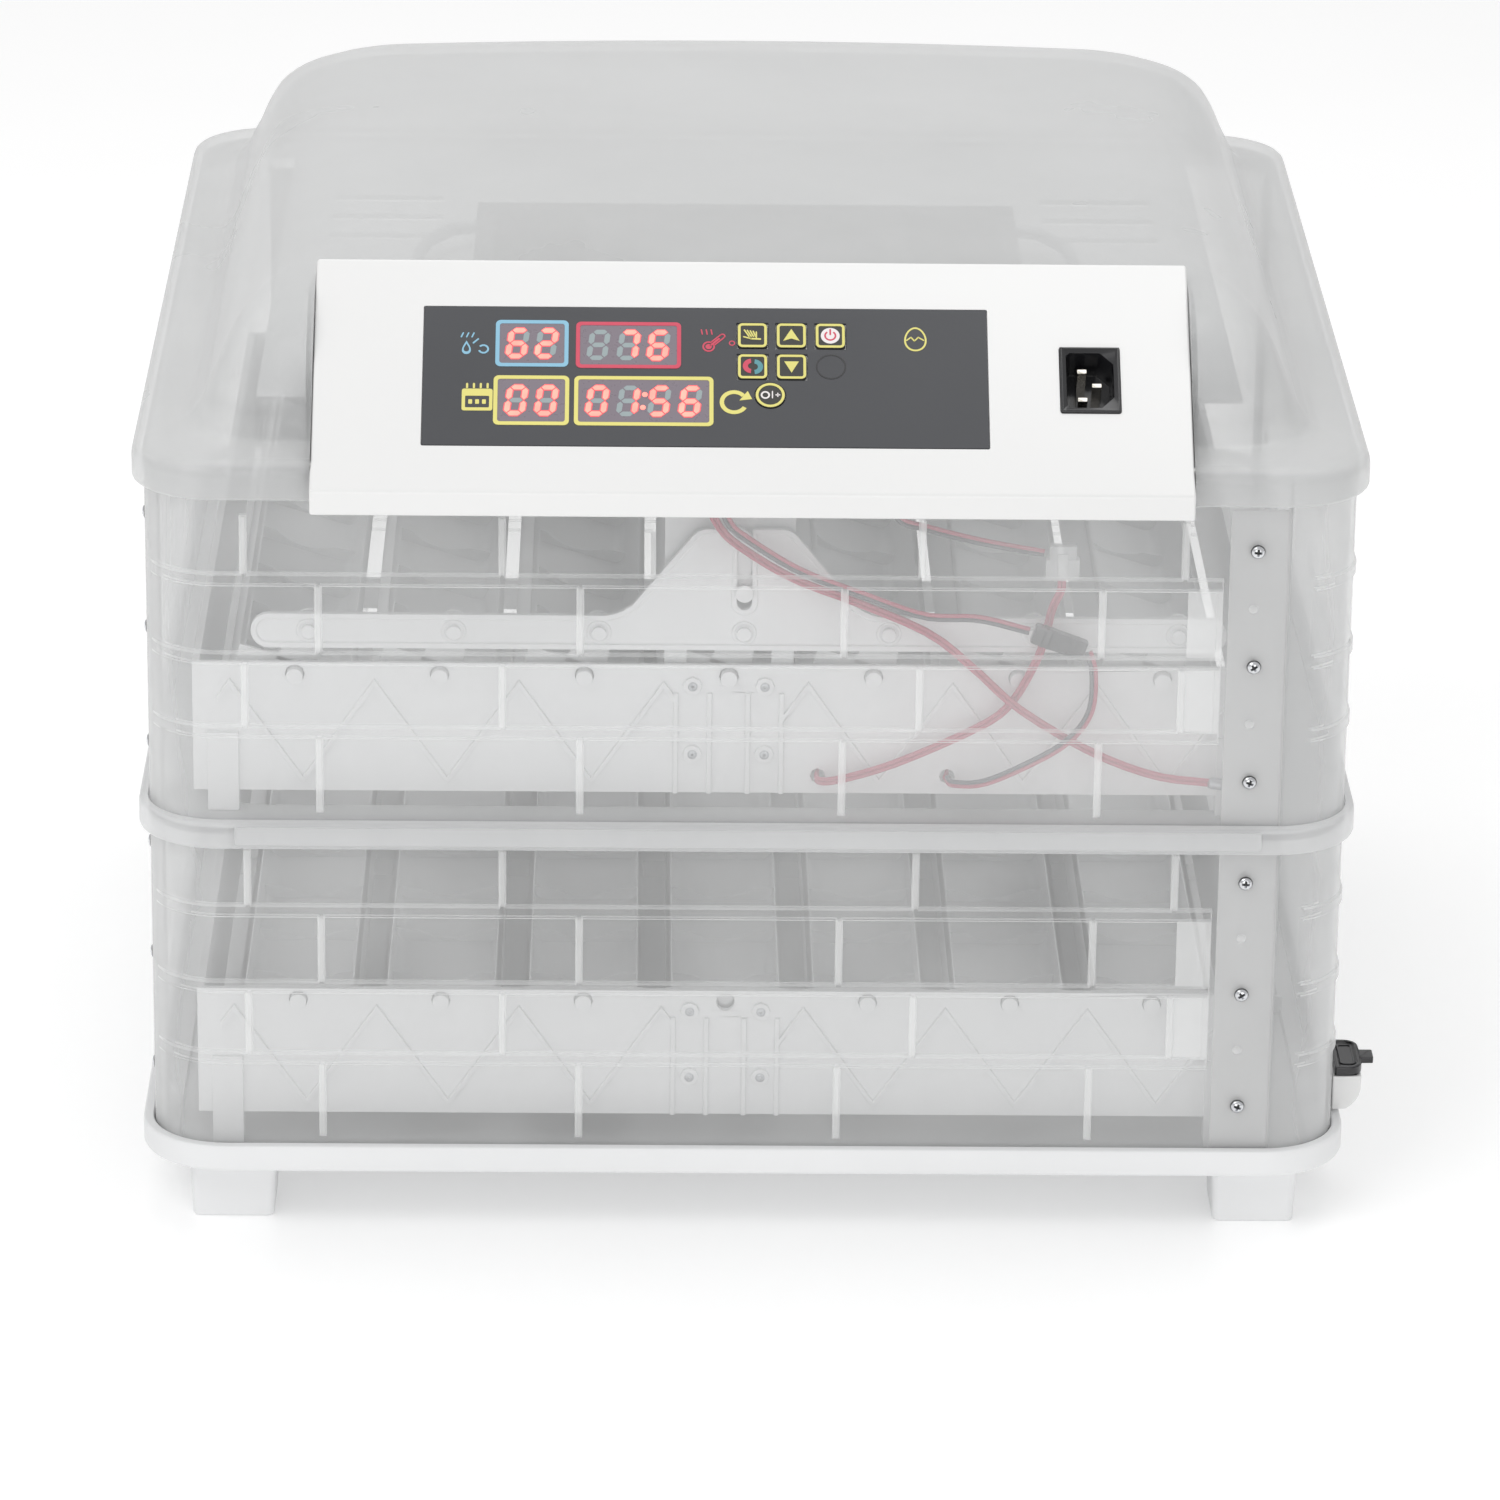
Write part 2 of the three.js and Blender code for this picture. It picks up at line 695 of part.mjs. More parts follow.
function trayFrame(tier, footBottom) {
  const floor = TIER_FLOORS[tier];
  const z0 = floor + TRAY_BOTTOM;
  const z1 = floor + TRAY_TOP;
  const pivotZ = floor + PIVOT_HEIGHT;
  const left = TRAY_X - TRAY_HALF_X;
  const right = TRAY_X + TRAY_HALF_X;
  const rim = block(left, right, -TRAY_HALF_Y, TRAY_HALF_Y, z0, z1).subtract(
    block(
      left + TRAY_PLATE,
      right - TRAY_PLATE,
      TRAY_PLATE - TRAY_HALF_Y,
      TRAY_HALF_Y - TRAY_PLATE,
      z0 - 1,
      z1 + 1,
    ),
  );
  const face = -TRAY_HALF_Y - RIB_PROUD;
  const back = 0.5 - TRAY_HALF_Y;
  const middle = 22;
  const zigzags = [
    [left + 10, TRAY_X - middle],
    [TRAY_X + middle, right - 4],
  ].map(([x0, x1]) => zigzag(x0, x1, floor + 10, floor + 53, face, back));
  const uprights = [-middle, -8, 8, middle].map((dx) =>
    block(TRAY_X + dx - 1, TRAY_X + dx + 1, face, back, z0, z1 - 12),
  );
  const bosses = SCREW_ROWS.flatMap((height) =>
    [-SCREW_SPREAD, SCREW_SPREAD].map((dx) =>
      pin(TRAY_X + dx, floor + height, 4, face, TRAY_PLATE + 1.2 - TRAY_HALF_Y),
    ),
  );
  const feet = [left + 6, right - 19].flatMap((x) =>
    [-TRAY_HALF_Y - 2, CHANNEL_END + 1].map((y) => block(x, x + 13, y, y + 9, footBottom, floor + 31)),
  );
  const pivotHoles = PIVOTS.map((x) => pin(x, pivotZ, PIVOT_PIN + 0.5, -240, 240, 10));
  const portZ = floor + WIRE_PORT_HEIGHT;
  const ports = WIRE_PORTS[tier].map((x) => pin(x, portZ, 3.2, -240, -200, 8));
  return without(joined([rim, ...zigzags, ...uprights, ...bosses, ...feet]), [...pivotHoles, ...ports]);
}

// One channel that carries a row of eggs, drawn about its pivot with its drive pin at the front.
// plainPinEnd is where the pivot pin at its other end stops.
function channel(plainPinEnd) {
  const half = 25;
  const skin = 2;
  const low = -27;
  const high = 3;
  const trough = block(-half, half, -CHANNEL_END, CHANNEL_END, low, high).subtract(
    block(skin - half, half - skin, skin - CHANNEL_END, CHANNEL_END - skin, low + skin, high + 1),
  );
  const slots = [-150, -50, 50, 150].map((y) => block(-9, 9, y - 34, y + 34, low - 1, low + skin + 1));
  const ear = upright(
    [
      ...points([
        [9, high - 2],
        [6, LINK],
      ]),
      ...arc(0, LINK, 6, 30, 150, 3),
      ...points([
        [-6, LINK],
        [-9, high - 2],
      ]),
    ],
    -CHANNEL_END,
    skin - CHANNEL_END,
  );
  return joined([
    trough.subtract(joined(slots)),
    ear,
    pin(0, 0, PIVOT_PIN, -PIN_END, 1 - CHANNEL_END),
    pin(0, 0, PIVOT_PIN, CHANNEL_END - 1, plainPinEnd),
    pin(0, LINK, DRIVE_PIN, -PIN_END, 1 - CHANNEL_END),
  ]);
}

// The lower tier is turned round, and its middle channel has no pin in the hole at the front.
function placeChannels(tier, tilt, facing) {
  const pivotZ = TIER_FLOORS[tier] + PIVOT_HEIGHT;
  const middle = (CHANNELS - 1) / 2;
  PIVOTS.forEach((x, i) => {
    const isOpen = tier === "lower" && i === middle;
    const plainPinEnd = isOpen ? SHORT_PIN_END : PIN_END - 1;
    const mesh = place(`${tier}_rocker_${i + 1}`, channel(plainPinEnd), WHITE);
    mesh.position.set(x, 0, pivotZ);
    mesh.rotation.set(0, tilt, facing);
  });
}

// The bar that links the drive pins; its slotted tower takes the motor's crank pin.
function driveBar(tier, tilt, y, hasTower) {
  const x = TRAY_X + LINK * Math.sin(tilt);
  const z = TIER_FLOORS[tier] + PIVOT_HEIGHT + LINK * Math.cos(tilt);
  const half = BAR_HEIGHT / 2;
  const reach = 200 - half;
  const y0 = y - BAR_PLATE / 2;
  const y1 = y + BAR_PLATE / 2;
  const leftEnd = arc(x - reach, z, half, 90, 270, 6);
  const rightEnd = arc(x + reach, z, half, -90, 90, 6);
  const strip = upright([...leftEnd, ...rightEnd], y0, y1);
  const holes = PIVOTS.map((pivot) => pin(pivot + x - TRAY_X, z, DRIVE_PIN + 0.5, y0 - 9, y1 + 9, 10));
  if (!hasTower) return without(strip, holes);
  const towerTop = z + half + 38;
  const tower = upright(
    points([
      [x - 50, z],
      [x + 50, z],
      [x + 50, z + half],
      [x + 20, towerTop],
      [x - 20, towerTop],
      [x - 50, z + half],
    ]),
    y0,
    y1,
  );
  const slot = block(x - 3.1, x + 3.1, y0 - 1, y1 + 1, z + half + 2.8, towerTop + 1);
  return without(joined([strip, tower]), [slot, ...holes]);
}

// The crank hangs below the motor shaft, with its pin through the slot in the bar.
const CRANK_Y = 227.5;

function crank() {
  const z = TIER_FLOORS.upper + CRANK_HEIGHT;
  const angle = Math.asin((LINK * Math.sin(UPPER_TILT)) / CRANK_THROW);
  const pinX = TRAY_X + CRANK_THROW * Math.sin(angle);
  const pinZ = z - CRANK_THROW * Math.cos(angle);
  const headY = BAR_Y + BAR_PLATE / 2 + 0.6;
  return joined([
    pin(TRAY_X, z, 12, -CRANK_Y, 2.5 - CRANK_Y, 24),
    block(-5, 5, -CRANK_Y, 2.5 - CRANK_Y, -CRANK_THROW, 0)
      .rotate([0, -angle / DEGREE, 0])
      .translate([TRAY_X, 0, z]),
    pin(pinX, pinZ, 5, -CRANK_Y, 2.5 - CRANK_Y, 16),
    pin(pinX, pinZ, 2.5, -headY - 1, 1 - CRANK_Y, 12),
    pin(pinX, pinZ, 3.75, -headY - 1.4, -headY, 12),
    pin(TRAY_X, z, 2.5, -CRANK_Y, GAP - 222, 12),
  ]);
}

function motorBracket() {
  const floor = TIER_FLOORS.upper;
  const z = floor + CRANK_HEIGHT;
  const outline = points([
    [-27, floor + 16],
    [27, floor + 16],
    [27, z + 20],
    [-27, z + 20],
  ]).map((p) => new THREE.Vector2(p.x + TRAY_X, p.y));
  const plate = upright(outline, -224.5, -222);
  const pinWindow = block(TRAY_X - 17.5, TRAY_X + 17.5, -226, -220, floor + 45, z - 19);
  const screwHoles = SCREW_ROWS.flatMap((height) =>
    [-SCREW_SPREAD, SCREW_SPREAD].map((dx) => pin(TRAY_X + dx, floor + height, 1.6, -230, -220, 8)),
  );
  return without(plate, [pinWindow, pin(TRAY_X, z, 3.2, -230, -220, 12), ...screwHoles]);
}

function motor() {
  const z = TIER_FLOORS.upper + CRANK_HEIGHT;
  const front = -222 + GAP;
  const body = pin(TRAY_X, z, 18, front, front + 22, 24);
  const cap = pin(TRAY_X, z, 13, front + 21, front + 30, 20);
  const shaftRecess = pin(TRAY_X, z, 3.2, front - 1, front + 1.5, 12);
  return without(joined([body, cap]), [shaftRecess]);
}

place("lower_tray_frame", trayFrame("lower", FOOT_HEIGHT + 3 + GAP), WHITE);
place("upper_tray_frame", trayFrame("upper", WALL_SEAT.upper + GAP), WHITE);
placeChannels("lower", 0, Math.PI);
placeChannels("upper", UPPER_TILT, 0);
place("lower_drive_bar", driveBar("lower", 0, BAR_Y, false), WHITE);
place("upper_drive_bar", driveBar("upper", UPPER_TILT, -BAR_Y, true), WHITE);
place("turner_crank", crank(), WHITE);
place("motor_bracket", motorBracket(), WHITE);
place("turner_motor", motor(), STEEL);

// ---------------------------------------------------------------- water spout
const SPOUT_Y = -196.5;
const SPOUT_HALF = 15.5;
const SPOUT_TOP = 55.5;
const SPOUT_WALL = WALL_HALF + RIB_DEPTH + GAP;
const SPOUT_REACH = 263.6;
const CAP_THICKNESS = 4;

function spoutSection(inset) {
  const reach = SPOUT_REACH - inset;
  return [
    new THREE.Vector2(SPOUT_WALL + inset, SPOUT_TOP + inset),
    new THREE.Vector2(SPOUT_WALL + inset, 40 + inset),
    ...arc(SPOUT_WALL, 51, reach - SPOUT_WALL, -60, -10, 4),
    new THREE.Vector2(reach, SPOUT_TOP + inset),
  ];
}

function waterSpout() {
  const y0 = SPOUT_Y - SPOUT_HALF;
  const y1 = SPOUT_Y + SPOUT_HALF;
  const outside = upright(spoutSection(0), y0, y1);
  const inside = upright(spoutSection(1.8), y0 + 1.8, y1 - 1.8);
  return outside.subtract(inside);
}

// The cap's outline from above: square at its hinge, rounded at its two free corners.
function capPlan(inset) {
  const hinge = SPOUT_WALL + 0.8 + inset;
  const free = SPOUT_REACH + 0.4 - inset;
  const front = SPOUT_Y - SPOUT_HALF + inset;
  const back = SPOUT_Y + SPOUT_HALF - inset;
  const radius = 6 - inset;
  return [
    new THREE.Vector2(hinge, front),
    ...arc(free - radius, front + radius, radius, -90, 0, 4),
    ...arc(free - radius, back - radius, radius, 0, 90, 4),
    new THREE.Vector2(hinge, back),
  ];
}

function spoutCap() {
  const low = SPOUT_TOP + GAP;
  const high = low + CAP_THICKNESS;
  const plate = without(prism(capPlan(0), low, high), [
    prism(capPlan(2), low - 1, low + 1.6),
    prism(capPlan(2.2), high - 0.8, high + 1),
  ]);
  const tab = block(SPOUT_REACH - 1, 269.5, SPOUT_Y - 4.5, SPOUT_Y + 4.5, low + 1, high);
  return joined([plate, tab]);
}

place("water_spout", waterSpout(), GLOSS_WHITE);
place("spout_cap", spoutCap(), BLACK);

// ---------------------------------------------------------------- wiring
// Wire pairs hang between the front wall and the turner, each in a layer of its own.
const FRONT_LAYER = -243.4;
const MIDDLE_LAYER = -239.4;
const BACK_LAYER = -235.6;
const WIRE = 0.9;

function layered(pairs, y) {
  return pairs.map(([x, z]) => [x, y, z]);
}

const MOTOR_LEAD = [
  [-14, -241.5, 340],
  [-14, -242.6, 328],
  ...layered(
    [
      [-9.5, 314],
      [-1.5, 306.5],
      [20, 293],
      [47, 282.3],
      [72, 273.6],
      [94, 272.6],
      [115, 267.4],
    ],
    FRONT_LAYER,
  ),
];
const PROBE_LEAD = [
  [-19.5, -239.5, 340],
  [-19.5, -239.5, 326],
  ...layered(
    [
      [-13.5, 311],
      [-4, 301.5],
      [18, 288],
      [45, 277.5],
      [74, 264.5],
      [93, 249],
      [112, 231.5],
      [142, 213],
      [169, 202.5],
      [192, 199.5],
    ],
    MIDDLE_LAYER,
  ),
];
const FAN_LEAD = [
  [59, -243, 340],
  [59.4, -243.2, 328],
  [60.5, -243.4, 316],
  [72, -243.4, 311.8],
  [95, -243.4, 306],
  [120.2, -243.4, 301.4],
];
const TIER_LEAD = [
  [127.8, -243, 289.9],
  [127.6, -241, 284],
  [124.6, -236.8, 275],
  [122, -235.6, 262],
  [118, -235.6, 250],
  [108, -235.6, 232],
  [94, -235.6, 221.4],
  [61, -235.6, 205.8],
  [38, -235.8, 198.6],
  [29, -234.5, 197.6],
  [29, -224, 197.6],
];
const TURNER_LEAD = [
  [139.6, -243.4, 258.4],
  [142, -243.4, 249],
  [141, -243.4, 232],
  [132, -243.4, 219],
  [116.5, -243.4, 209],
  [98, -242, 200],
  [86, -238, 197.8],
  [83, -233, 197.6],
  [83, -224, 197.6],
];

function wirePair(route, steps) {
  return tube(route, 2 * WIRE, WIRE, steps);
}

function plug(x, z, width, height, angle) {
  const half = [width / 2, height / 2];
  const body = block(-half[0], half[0], -2.5, 2.5, -half[1], half[1]);
  return body.rotate([0, angle, 0]).translate([x, FRONT_LAYER, z]);
}

place("motor_lead", wirePair(MOTOR_LEAD, 22), RED_WIRE);
place("probe_lead", wirePair(PROBE_LEAD, 26), RED_WIRE);
place("fan_lead", wirePair(FAN_LEAD, 12), RED_WIRE);
place("tier_lead", wirePair(TIER_LEAD, 26), RED_WIRE);
place("turner_lead", wirePair(TURNER_LEAD, 24), RED_WIRE);
place("black_connector", plug(127.4, 262.9, 23, 8, 20), BLACK);
place("clear_connector", plug(127.9, 297.8, 14, 14.5, 0), CLEAR);

// ---------------------------------------------------------------- whole model
const OUTER_BOX = { left: -LID_HALF, right: 269.5, front: BOX_FRONT, back: LID_HALF };
group.position.set(
  -(OUTER_BOX.left + OUTER_BOX.right) / 2,
  -(OUTER_BOX.front + OUTER_BOX.back) / 2,
  0,
);

export default group;
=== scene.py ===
"""Looks of a two-tier egg incubator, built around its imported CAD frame.

Shapes are drawn in the housing's own millimetres: +X right, +Y back, +Z up, centred on the housing.
at() moves them into the frame, in metres.
"""

import math

import bmesh
import bpy
from mathutils import Matrix, Vector


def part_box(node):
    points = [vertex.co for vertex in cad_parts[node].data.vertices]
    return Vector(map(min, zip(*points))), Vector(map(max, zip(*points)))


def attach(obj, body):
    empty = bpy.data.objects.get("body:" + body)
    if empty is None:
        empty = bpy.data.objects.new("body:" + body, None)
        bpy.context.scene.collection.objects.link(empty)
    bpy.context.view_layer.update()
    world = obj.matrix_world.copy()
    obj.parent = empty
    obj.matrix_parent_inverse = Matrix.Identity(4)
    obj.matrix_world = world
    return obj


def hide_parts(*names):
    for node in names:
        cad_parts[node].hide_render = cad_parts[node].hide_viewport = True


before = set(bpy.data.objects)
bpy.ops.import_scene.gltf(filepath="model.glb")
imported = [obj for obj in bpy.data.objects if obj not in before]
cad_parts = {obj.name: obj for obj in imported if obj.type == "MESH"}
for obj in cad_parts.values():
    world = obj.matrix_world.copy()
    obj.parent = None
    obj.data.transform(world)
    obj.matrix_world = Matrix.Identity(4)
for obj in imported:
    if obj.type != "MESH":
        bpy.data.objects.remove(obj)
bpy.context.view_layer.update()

MM = 0.001
pan_low, pan_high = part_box("base_pan")
HOUSING = Vector(((pan_low.x + pan_high.x) / 2, (pan_low.y + pan_high.y) / 2, 0))


def at(x, y, z):
    return HOUSING + Vector((x, y, z)) * MM


# ---------------------------------------------------------------- dimensions, as in the CAD model
WALL_HALF = 250
WALL_RADIUS = 31
WALL_THICKNESS = 2.2
WALL_LAP = 2.5
WALL_END = 221
TONGUE_END = 196.4
CORNER = WALL_HALF - WALL_RADIUS
SLIP = 0.6
TIER_FLOORS = {"lower": 38.8, "upper": 184.8}
WALL_SPANS = {"lower": (32.3, 177.7), "upper": (181.3, 335.7)}
TIER_BODIES = {"lower": "base", "upper": "upper_tier"}
RIB_HEIGHTS = (38.5, 70.7, 105)
RIB_SIZE = 5
RIB_DEPTH = 1
UPRIGHT_RIB = 2.4
RIB_START = 204  # angle round a wall's own corner where its level ribs begin
RIB_END = 194  # they stop short of the lap strip
RIB_ROWS = ((-177.5, -70, 38.5, 144.5), (-208, -102, 70, 178))
TURNS = {"front": 0, "right": 90, "back": 180, "left": 270}

TRAY_X = -8.4
TRAY_FRONT = -230.4  # the front face of the tray frame's screw bosses
PITCH = 60
PIVOTS = [TRAY_X + (i - 3) * PITCH for i in range(7)]
PIVOT_HEIGHT = 56.5
LINK = 20.6
UPPER_TILT = math.radians(17)
PIN_END = 232.8
SHORT_PIN_END = 224
CHANNEL_END = 221
BAR_Y = 229.5
CRANK_Z = TIER_FLOORS["upper"] + 110
CRANK_THROW = 17
CRANK_DISC_Y = -227.5

BOX_HALF = 180
BOX_FRONT = -267
BOX_BACK = -175
BOX_SKIRT = 323.5
BOX_FLOOR = 341.6
FACE_LOW = 334
FACE_HIGH = 404.7
FACE_TILT = math.atan2(FACE_HIGH - FACE_LOW, BOX_BACK - BOX_FRONT)
OVERLAY = {"left": -135, "right": 96.5, "low": 23, "high": 92}
OVERLAY_TOP = 0.2
INLET = {"x": 138.4, "y": 57.2, "width": 24.6, "height": 32.5}
KEY_TOP = 0.6


LENS = 175.47
CAMERA_PLACE = (-47.3, -3078.6, 1279.5)
CAMERA_TURNS = (0.965, 20.589, 0.705)  # yaw, pitch and roll in degrees
FLOOR_HALF = 40  # metres


def new_object(name, data):
    obj = bpy.data.objects.new(name, data)
    bpy.context.scene.collection.objects.link(obj)
    return obj


# ---------------------------------------------------------------- camera and lights
def make_camera():
    data = bpy.data.cameras.new("camera")
    data.sensor_width = 36
    data.lens = LENS
    data.clip_end = 20
    camera = new_object("camera", data)
    yaw, pitch, roll = (math.radians(a) for a in CAMERA_TURNS)
    turn = Matrix.Rotation(-yaw, 4, "Z")
    turn = turn @ Matrix.Rotation(math.pi / 2 - pitch, 4, "X")
    turn = turn @ Matrix.Rotation(roll, 4, "Z")
    camera.matrix_world = Matrix.Translation(at(*CAMERA_PLACE)) @ turn
    bpy.context.scene.camera = camera


def area_light(name, place, target, size, watts):
    data = bpy.data.lights.new(name, "AREA")
    data.shape = "RECTANGLE"
    data.size, data.size_y = size
    data.energy = watts
    light = new_object(name, data)
    light.location = place
    light.rotation_euler = (Vector(target) - Vector(place)).to_track_quat("-Z", "Y").to_euler()


def make_lights():
    world = bpy.data.worlds.new("world")
    bpy.context.scene.world = world
    world.use_nodes = True
    background = world.node_tree.nodes["Background"]
    background.inputs["Color"].default_value = (1, 1, 1, 1)
    background.inputs["Strength"].default_value = 0.62
    area_light("key_light", (-1.4, -1.6, 2.4), (0, 0, 0.2), (1.8, 1.4), 20)
    area_light("front_light", (0.2, -3.4, 0.7), (0, 0, 0.2), (3.0, 1.2), 18)
    area_light("top_light", (0.2, 0.5, 2.6), (0, 0, 0.3), (2.2, 1.6), 20)


# ---------------------------------------------------------------- materials
class Look:
    """A material whose inputs follow slow clouds or a fine grain."""

    def __init__(self, name):
        self.material = bpy.data.materials.new(name)
        self.material.use_nodes = True
        self.nodes = self.material.node_tree.nodes
        self.links = self.material.node_tree.links
        self.inputs = self.nodes["Principled BSDF"].inputs

    def noise(self, scale, detail=3.0):
        coordinates = self.nodes.new("ShaderNodeTexCoord")
        noise = self.nodes.new("ShaderNodeTexNoise")
        noise.inputs["Scale"].default_value = scale
        noise.inputs["Detail"].default_value = detail
        self.links.new(coordinates.outputs["Object"], noise.inputs["Vector"])
        return noise.outputs["Fac"]

    def vary(self, source, low, high, target, source_low=0.3, source_high=0.7):
        """target follows source, from low to high."""
        span = self.nodes.new("ShaderNodeMapRange")
        span.inputs["From Min"].default_value = source_low
        span.inputs["From Max"].default_value = source_high
        span.inputs["To Min"].default_value = low
        span.inputs["To Max"].default_value = high
        self.links.new(source, span.inputs["Value"])
        self.links.new(span.outputs["Result"], target)

    def sheen(self, source, roughness, low=0.85, high=1.2):
        self.vary(source, roughness * low, roughness * high, self.inputs["Roughness"])

    def tint(self, source, first, second, target="Base Color"):
        mix = self.nodes.new("ShaderNodeMix")
        mix.data_type = "RGBA"
        mix.inputs["A"].default_value = (*first, 1)
        mix.inputs["B"].default_value = (*second, 1)
        self.links.new(source, mix.inputs["Factor"])
        self.links.new(mix.outputs["Result"], self.inputs[target])

    def bump(self, height, strength, distance):
        node = self.nodes.new("ShaderNodeBump")
        node.inputs["Strength"].default_value = strength
        node.inputs["Distance"].default_value = distance
        self.links.new(height, node.inputs["Height"])
        self.links.new(node.outputs["Normal"], self.inputs["Normal"])

    def set(self, name, value):
        self.inputs[name].default_value = value


def shade(color, factor):
    return tuple(min(1, c * factor) for c in color)


def plastic(name, color, roughness, spread=0.04, grain=420, relief=0.0002, gloss=0.0):
    """Moulded plastic: slow cloudy change of tone, and a fine grain in its sheen and relief."""
    look = Look(name)
    clouds = look.noise(14)
    fine = look.noise(grain, 2)
    look.tint(clouds, shade(color, 1 - spread), shade(color, 1 + spread))
    look.sheen(fine, roughness)
    look.bump(fine, 0.12, relief)
    look.set("Coat Weight", gloss)
    look.set("Coat Roughness", 0.12)
    return look.material


def see_through(name, color, roughness, facing, grazing, cloud=0.06):
    """Cloudy see-through plastic: thin where it faces the eye, milkier at a slant and in its clouds."""
    look = Look(name)
    clouds = look.noise(9, 4)
    look.tint(clouds, shade(color, 0.97), shade(color, 1.03))
    look.sheen(clouds, roughness)
    slant = look.nodes.new("ShaderNodeLayerWeight")
    slant.inputs["Blend"].default_value = 0.35
    total = look.nodes.new("ShaderNodeMath")
    total.operation = "ADD"
    total.use_clamp = True
    look.vary(slant.outputs["Facing"], facing, grazing, total.inputs[0], 0, 1)
    look.vary(clouds, -cloud, cloud, total.inputs[1])
    look.links.new(total.outputs["Value"], look.inputs["Alpha"])
    return look.material


def metal(name, color, roughness):
    look = Look(name)
    fine = look.noise(900, 2)
    look.set("Metallic", 1)
    look.tint(fine, shade(color, 0.85), color)
    look.sheen(fine, roughness, 0.7, 1.4)
    look.bump(fine, 0.15, 0.0001)
    return look.material


def glow(name, edge, core, strength):
    """A lit display segment: a pale core colour that drifts towards its edge colour."""
    look = Look(name)
    clouds = look.noise(160, 1)
    look.tint(clouds, edge, core, "Emission Color")
    look.set("Base Color", (*edge, 1))
    look.set("Emission Strength", strength)
    look.vary(clouds, 0.3, 0.45, look.inputs["Roughness"])
    return look.material


def floor_white():
    look = Look("pale_floor")
    clouds = look.noise(3)
    look.tint(clouds, (0.93, 0.93, 0.93), (0.96, 0.96, 0.96))
    look.vary(clouds, 0.3, 0.36, look.inputs["Roughness"])
    look.set("Emission Color", (1, 1, 1, 1))
    look.set("Emission Strength", 0.2)
    return look.material


CLEAR = see_through("clear_plastic", (0.86, 0.865, 0.865), 0.22, 0.2, 0.66)
# Whiter, denser clear plastic: the clear plug's own body, and on the walls the rib sides and panel ends,
# where it is partly denser plastic and partly painted highlight along those edges.
DENSE_CLEAR_AND_EDGE_HIGHLIGHT = see_through("dense_clear_and_edge_highlight", (0.9, 0.905, 0.905), 0.2, 0.42, 0.8)
FROSTED = see_through("frosted_lap", (0.66, 0.66, 0.662), 0.35, 0.74, 0.9)
MILKY = see_through("milky_lid", (0.71, 0.715, 0.715), 0.3, 0.34, 0.8, 0.02)
MILKY_RING = see_through("milky_ring", (0.8, 0.805, 0.81), 0.32, 0.4, 0.85, 0.03)
BASE_WHITE = plastic("base_white", (0.8, 0.805, 0.81), 0.38)
TURNER_WHITE = plastic("turner_white", (0.86, 0.865, 0.87), 0.45)
INNER_WHITE = plastic("inner_white", (0.8, 0.81, 0.815), 0.5)
GLOSS_WHITE = plastic("gloss_white", (0.78, 0.78, 0.775), 0.2, 0.01, 300, 0.00005, 0.5)
FAN_BLACK = plastic("fan_black", (0.022, 0.024, 0.028), 0.42, 0.15)
GLOSS_BLACK = plastic("gloss_black", (0.012, 0.012, 0.014), 0.22, 0.2, 500, 0.0001, 0.3)
OVERLAY_GREY = plastic("overlay_grey", (0.048, 0.05, 0.056), 0.34, 0.1, 700, 0.0001)
KEY_DARK = plastic("key_dark", (0.03, 0.03, 0.026), 0.4, 0.12, 700, 0.0001)
YELLOW_INK = plastic("yellow_ink", (0.74, 0.68, 0.2), 0.5, 0.08)
BLUE_INK = plastic("blue_ink", (0.25, 0.5, 0.66), 0.5, 0.08)
RED_INK = plastic("red_ink", (0.62, 0.07, 0.12), 0.5, 0.1)
TEAL_INK = plastic("teal_ink", (0.10, 0.30, 0.34), 0.5, 0.1)
WHITE_INK = plastic("white_ink", (0.82, 0.78, 0.78), 0.5, 0.04)
WINDOW_GREY = plastic("window_grey", (0.2, 0.17, 0.2), 0.3, 0.12, 500, 0.00005)
UNLIT = plastic("unlit_segment", (0.3, 0.36, 0.37), 0.4, 0.1)
LIT = glow("lit_segment", (1.0, 0.16, 0.14), (1.0, 0.42, 0.3), 1.15)
HALO = glow("segment_halo", (0.75, 0.07, 0.09), (0.85, 0.12, 0.13), 0.55)
STEEL = metal("bright_steel", (0.72, 0.73, 0.75), 0.2)
# Dark steel for painted shade: the cross recess and a painted shadow ring round each screw head.
SCREW_SHADE = metal("screw_painted_shade", (0.06, 0.06, 0.06), 0.45)
DULL_STEEL = metal("dull_steel", (0.5, 0.51, 0.53), 0.4)
CONTACT = metal("contact_brass", (0.86, 0.82, 0.74), 0.2)
RED_WIRE = plastic("red_wire", (0.5, 0.05, 0.11), 0.4, 0.08)
BLACK_WIRE = plastic("black_wire", (0.075, 0.07, 0.085), 0.4, 0.12)


# ---------------------------------------------------------------- shapes
class Shape:
    """Points in housing millimetres, faces between them, and each face's material number."""

    def __init__(self):
        self.points = []
        self.faces = []
        self.paint = []

    def add(self, points, faces, paint=0):
        start = len(self.points)
        self.points += [Vector(p) for p in points]
        self.faces += [[start + i for i in face] for face in faces]
        self.paint += [paint] * len(faces)
        return self

    def join(self, other, matrix=None, paint=None):
        matrix = matrix or Matrix.Identity(4)
        start = len(self.points)
        self.points += [matrix @ p for p in other.points]
        self.faces += [[start + i for i in face] for face in other.faces]
        self.paint += other.paint if paint is None else [paint] * len(other.paint)
        return self


def loft(rings, closed=False):
    """A skin over rings of points. It closes on itself, or has a cap on each end."""
    shape = Shape()
    count = len(rings[0])
    points = [p for ring in rings for p in ring]
    faces = []
    for level in range(len(rings) if closed else len(rings) - 1):
        low = level * count
        high = (level + 1) % len(rings) * count
        for i in range(count):
            j = (i + 1) % count
            faces.append([low + i, low + j, high + j, high + i])
    if not closed:
        faces.append(list(range(count))[::-1])
        faces.append(list(range(len(points) - count, len(points))))
    return shape.add(points, faces)


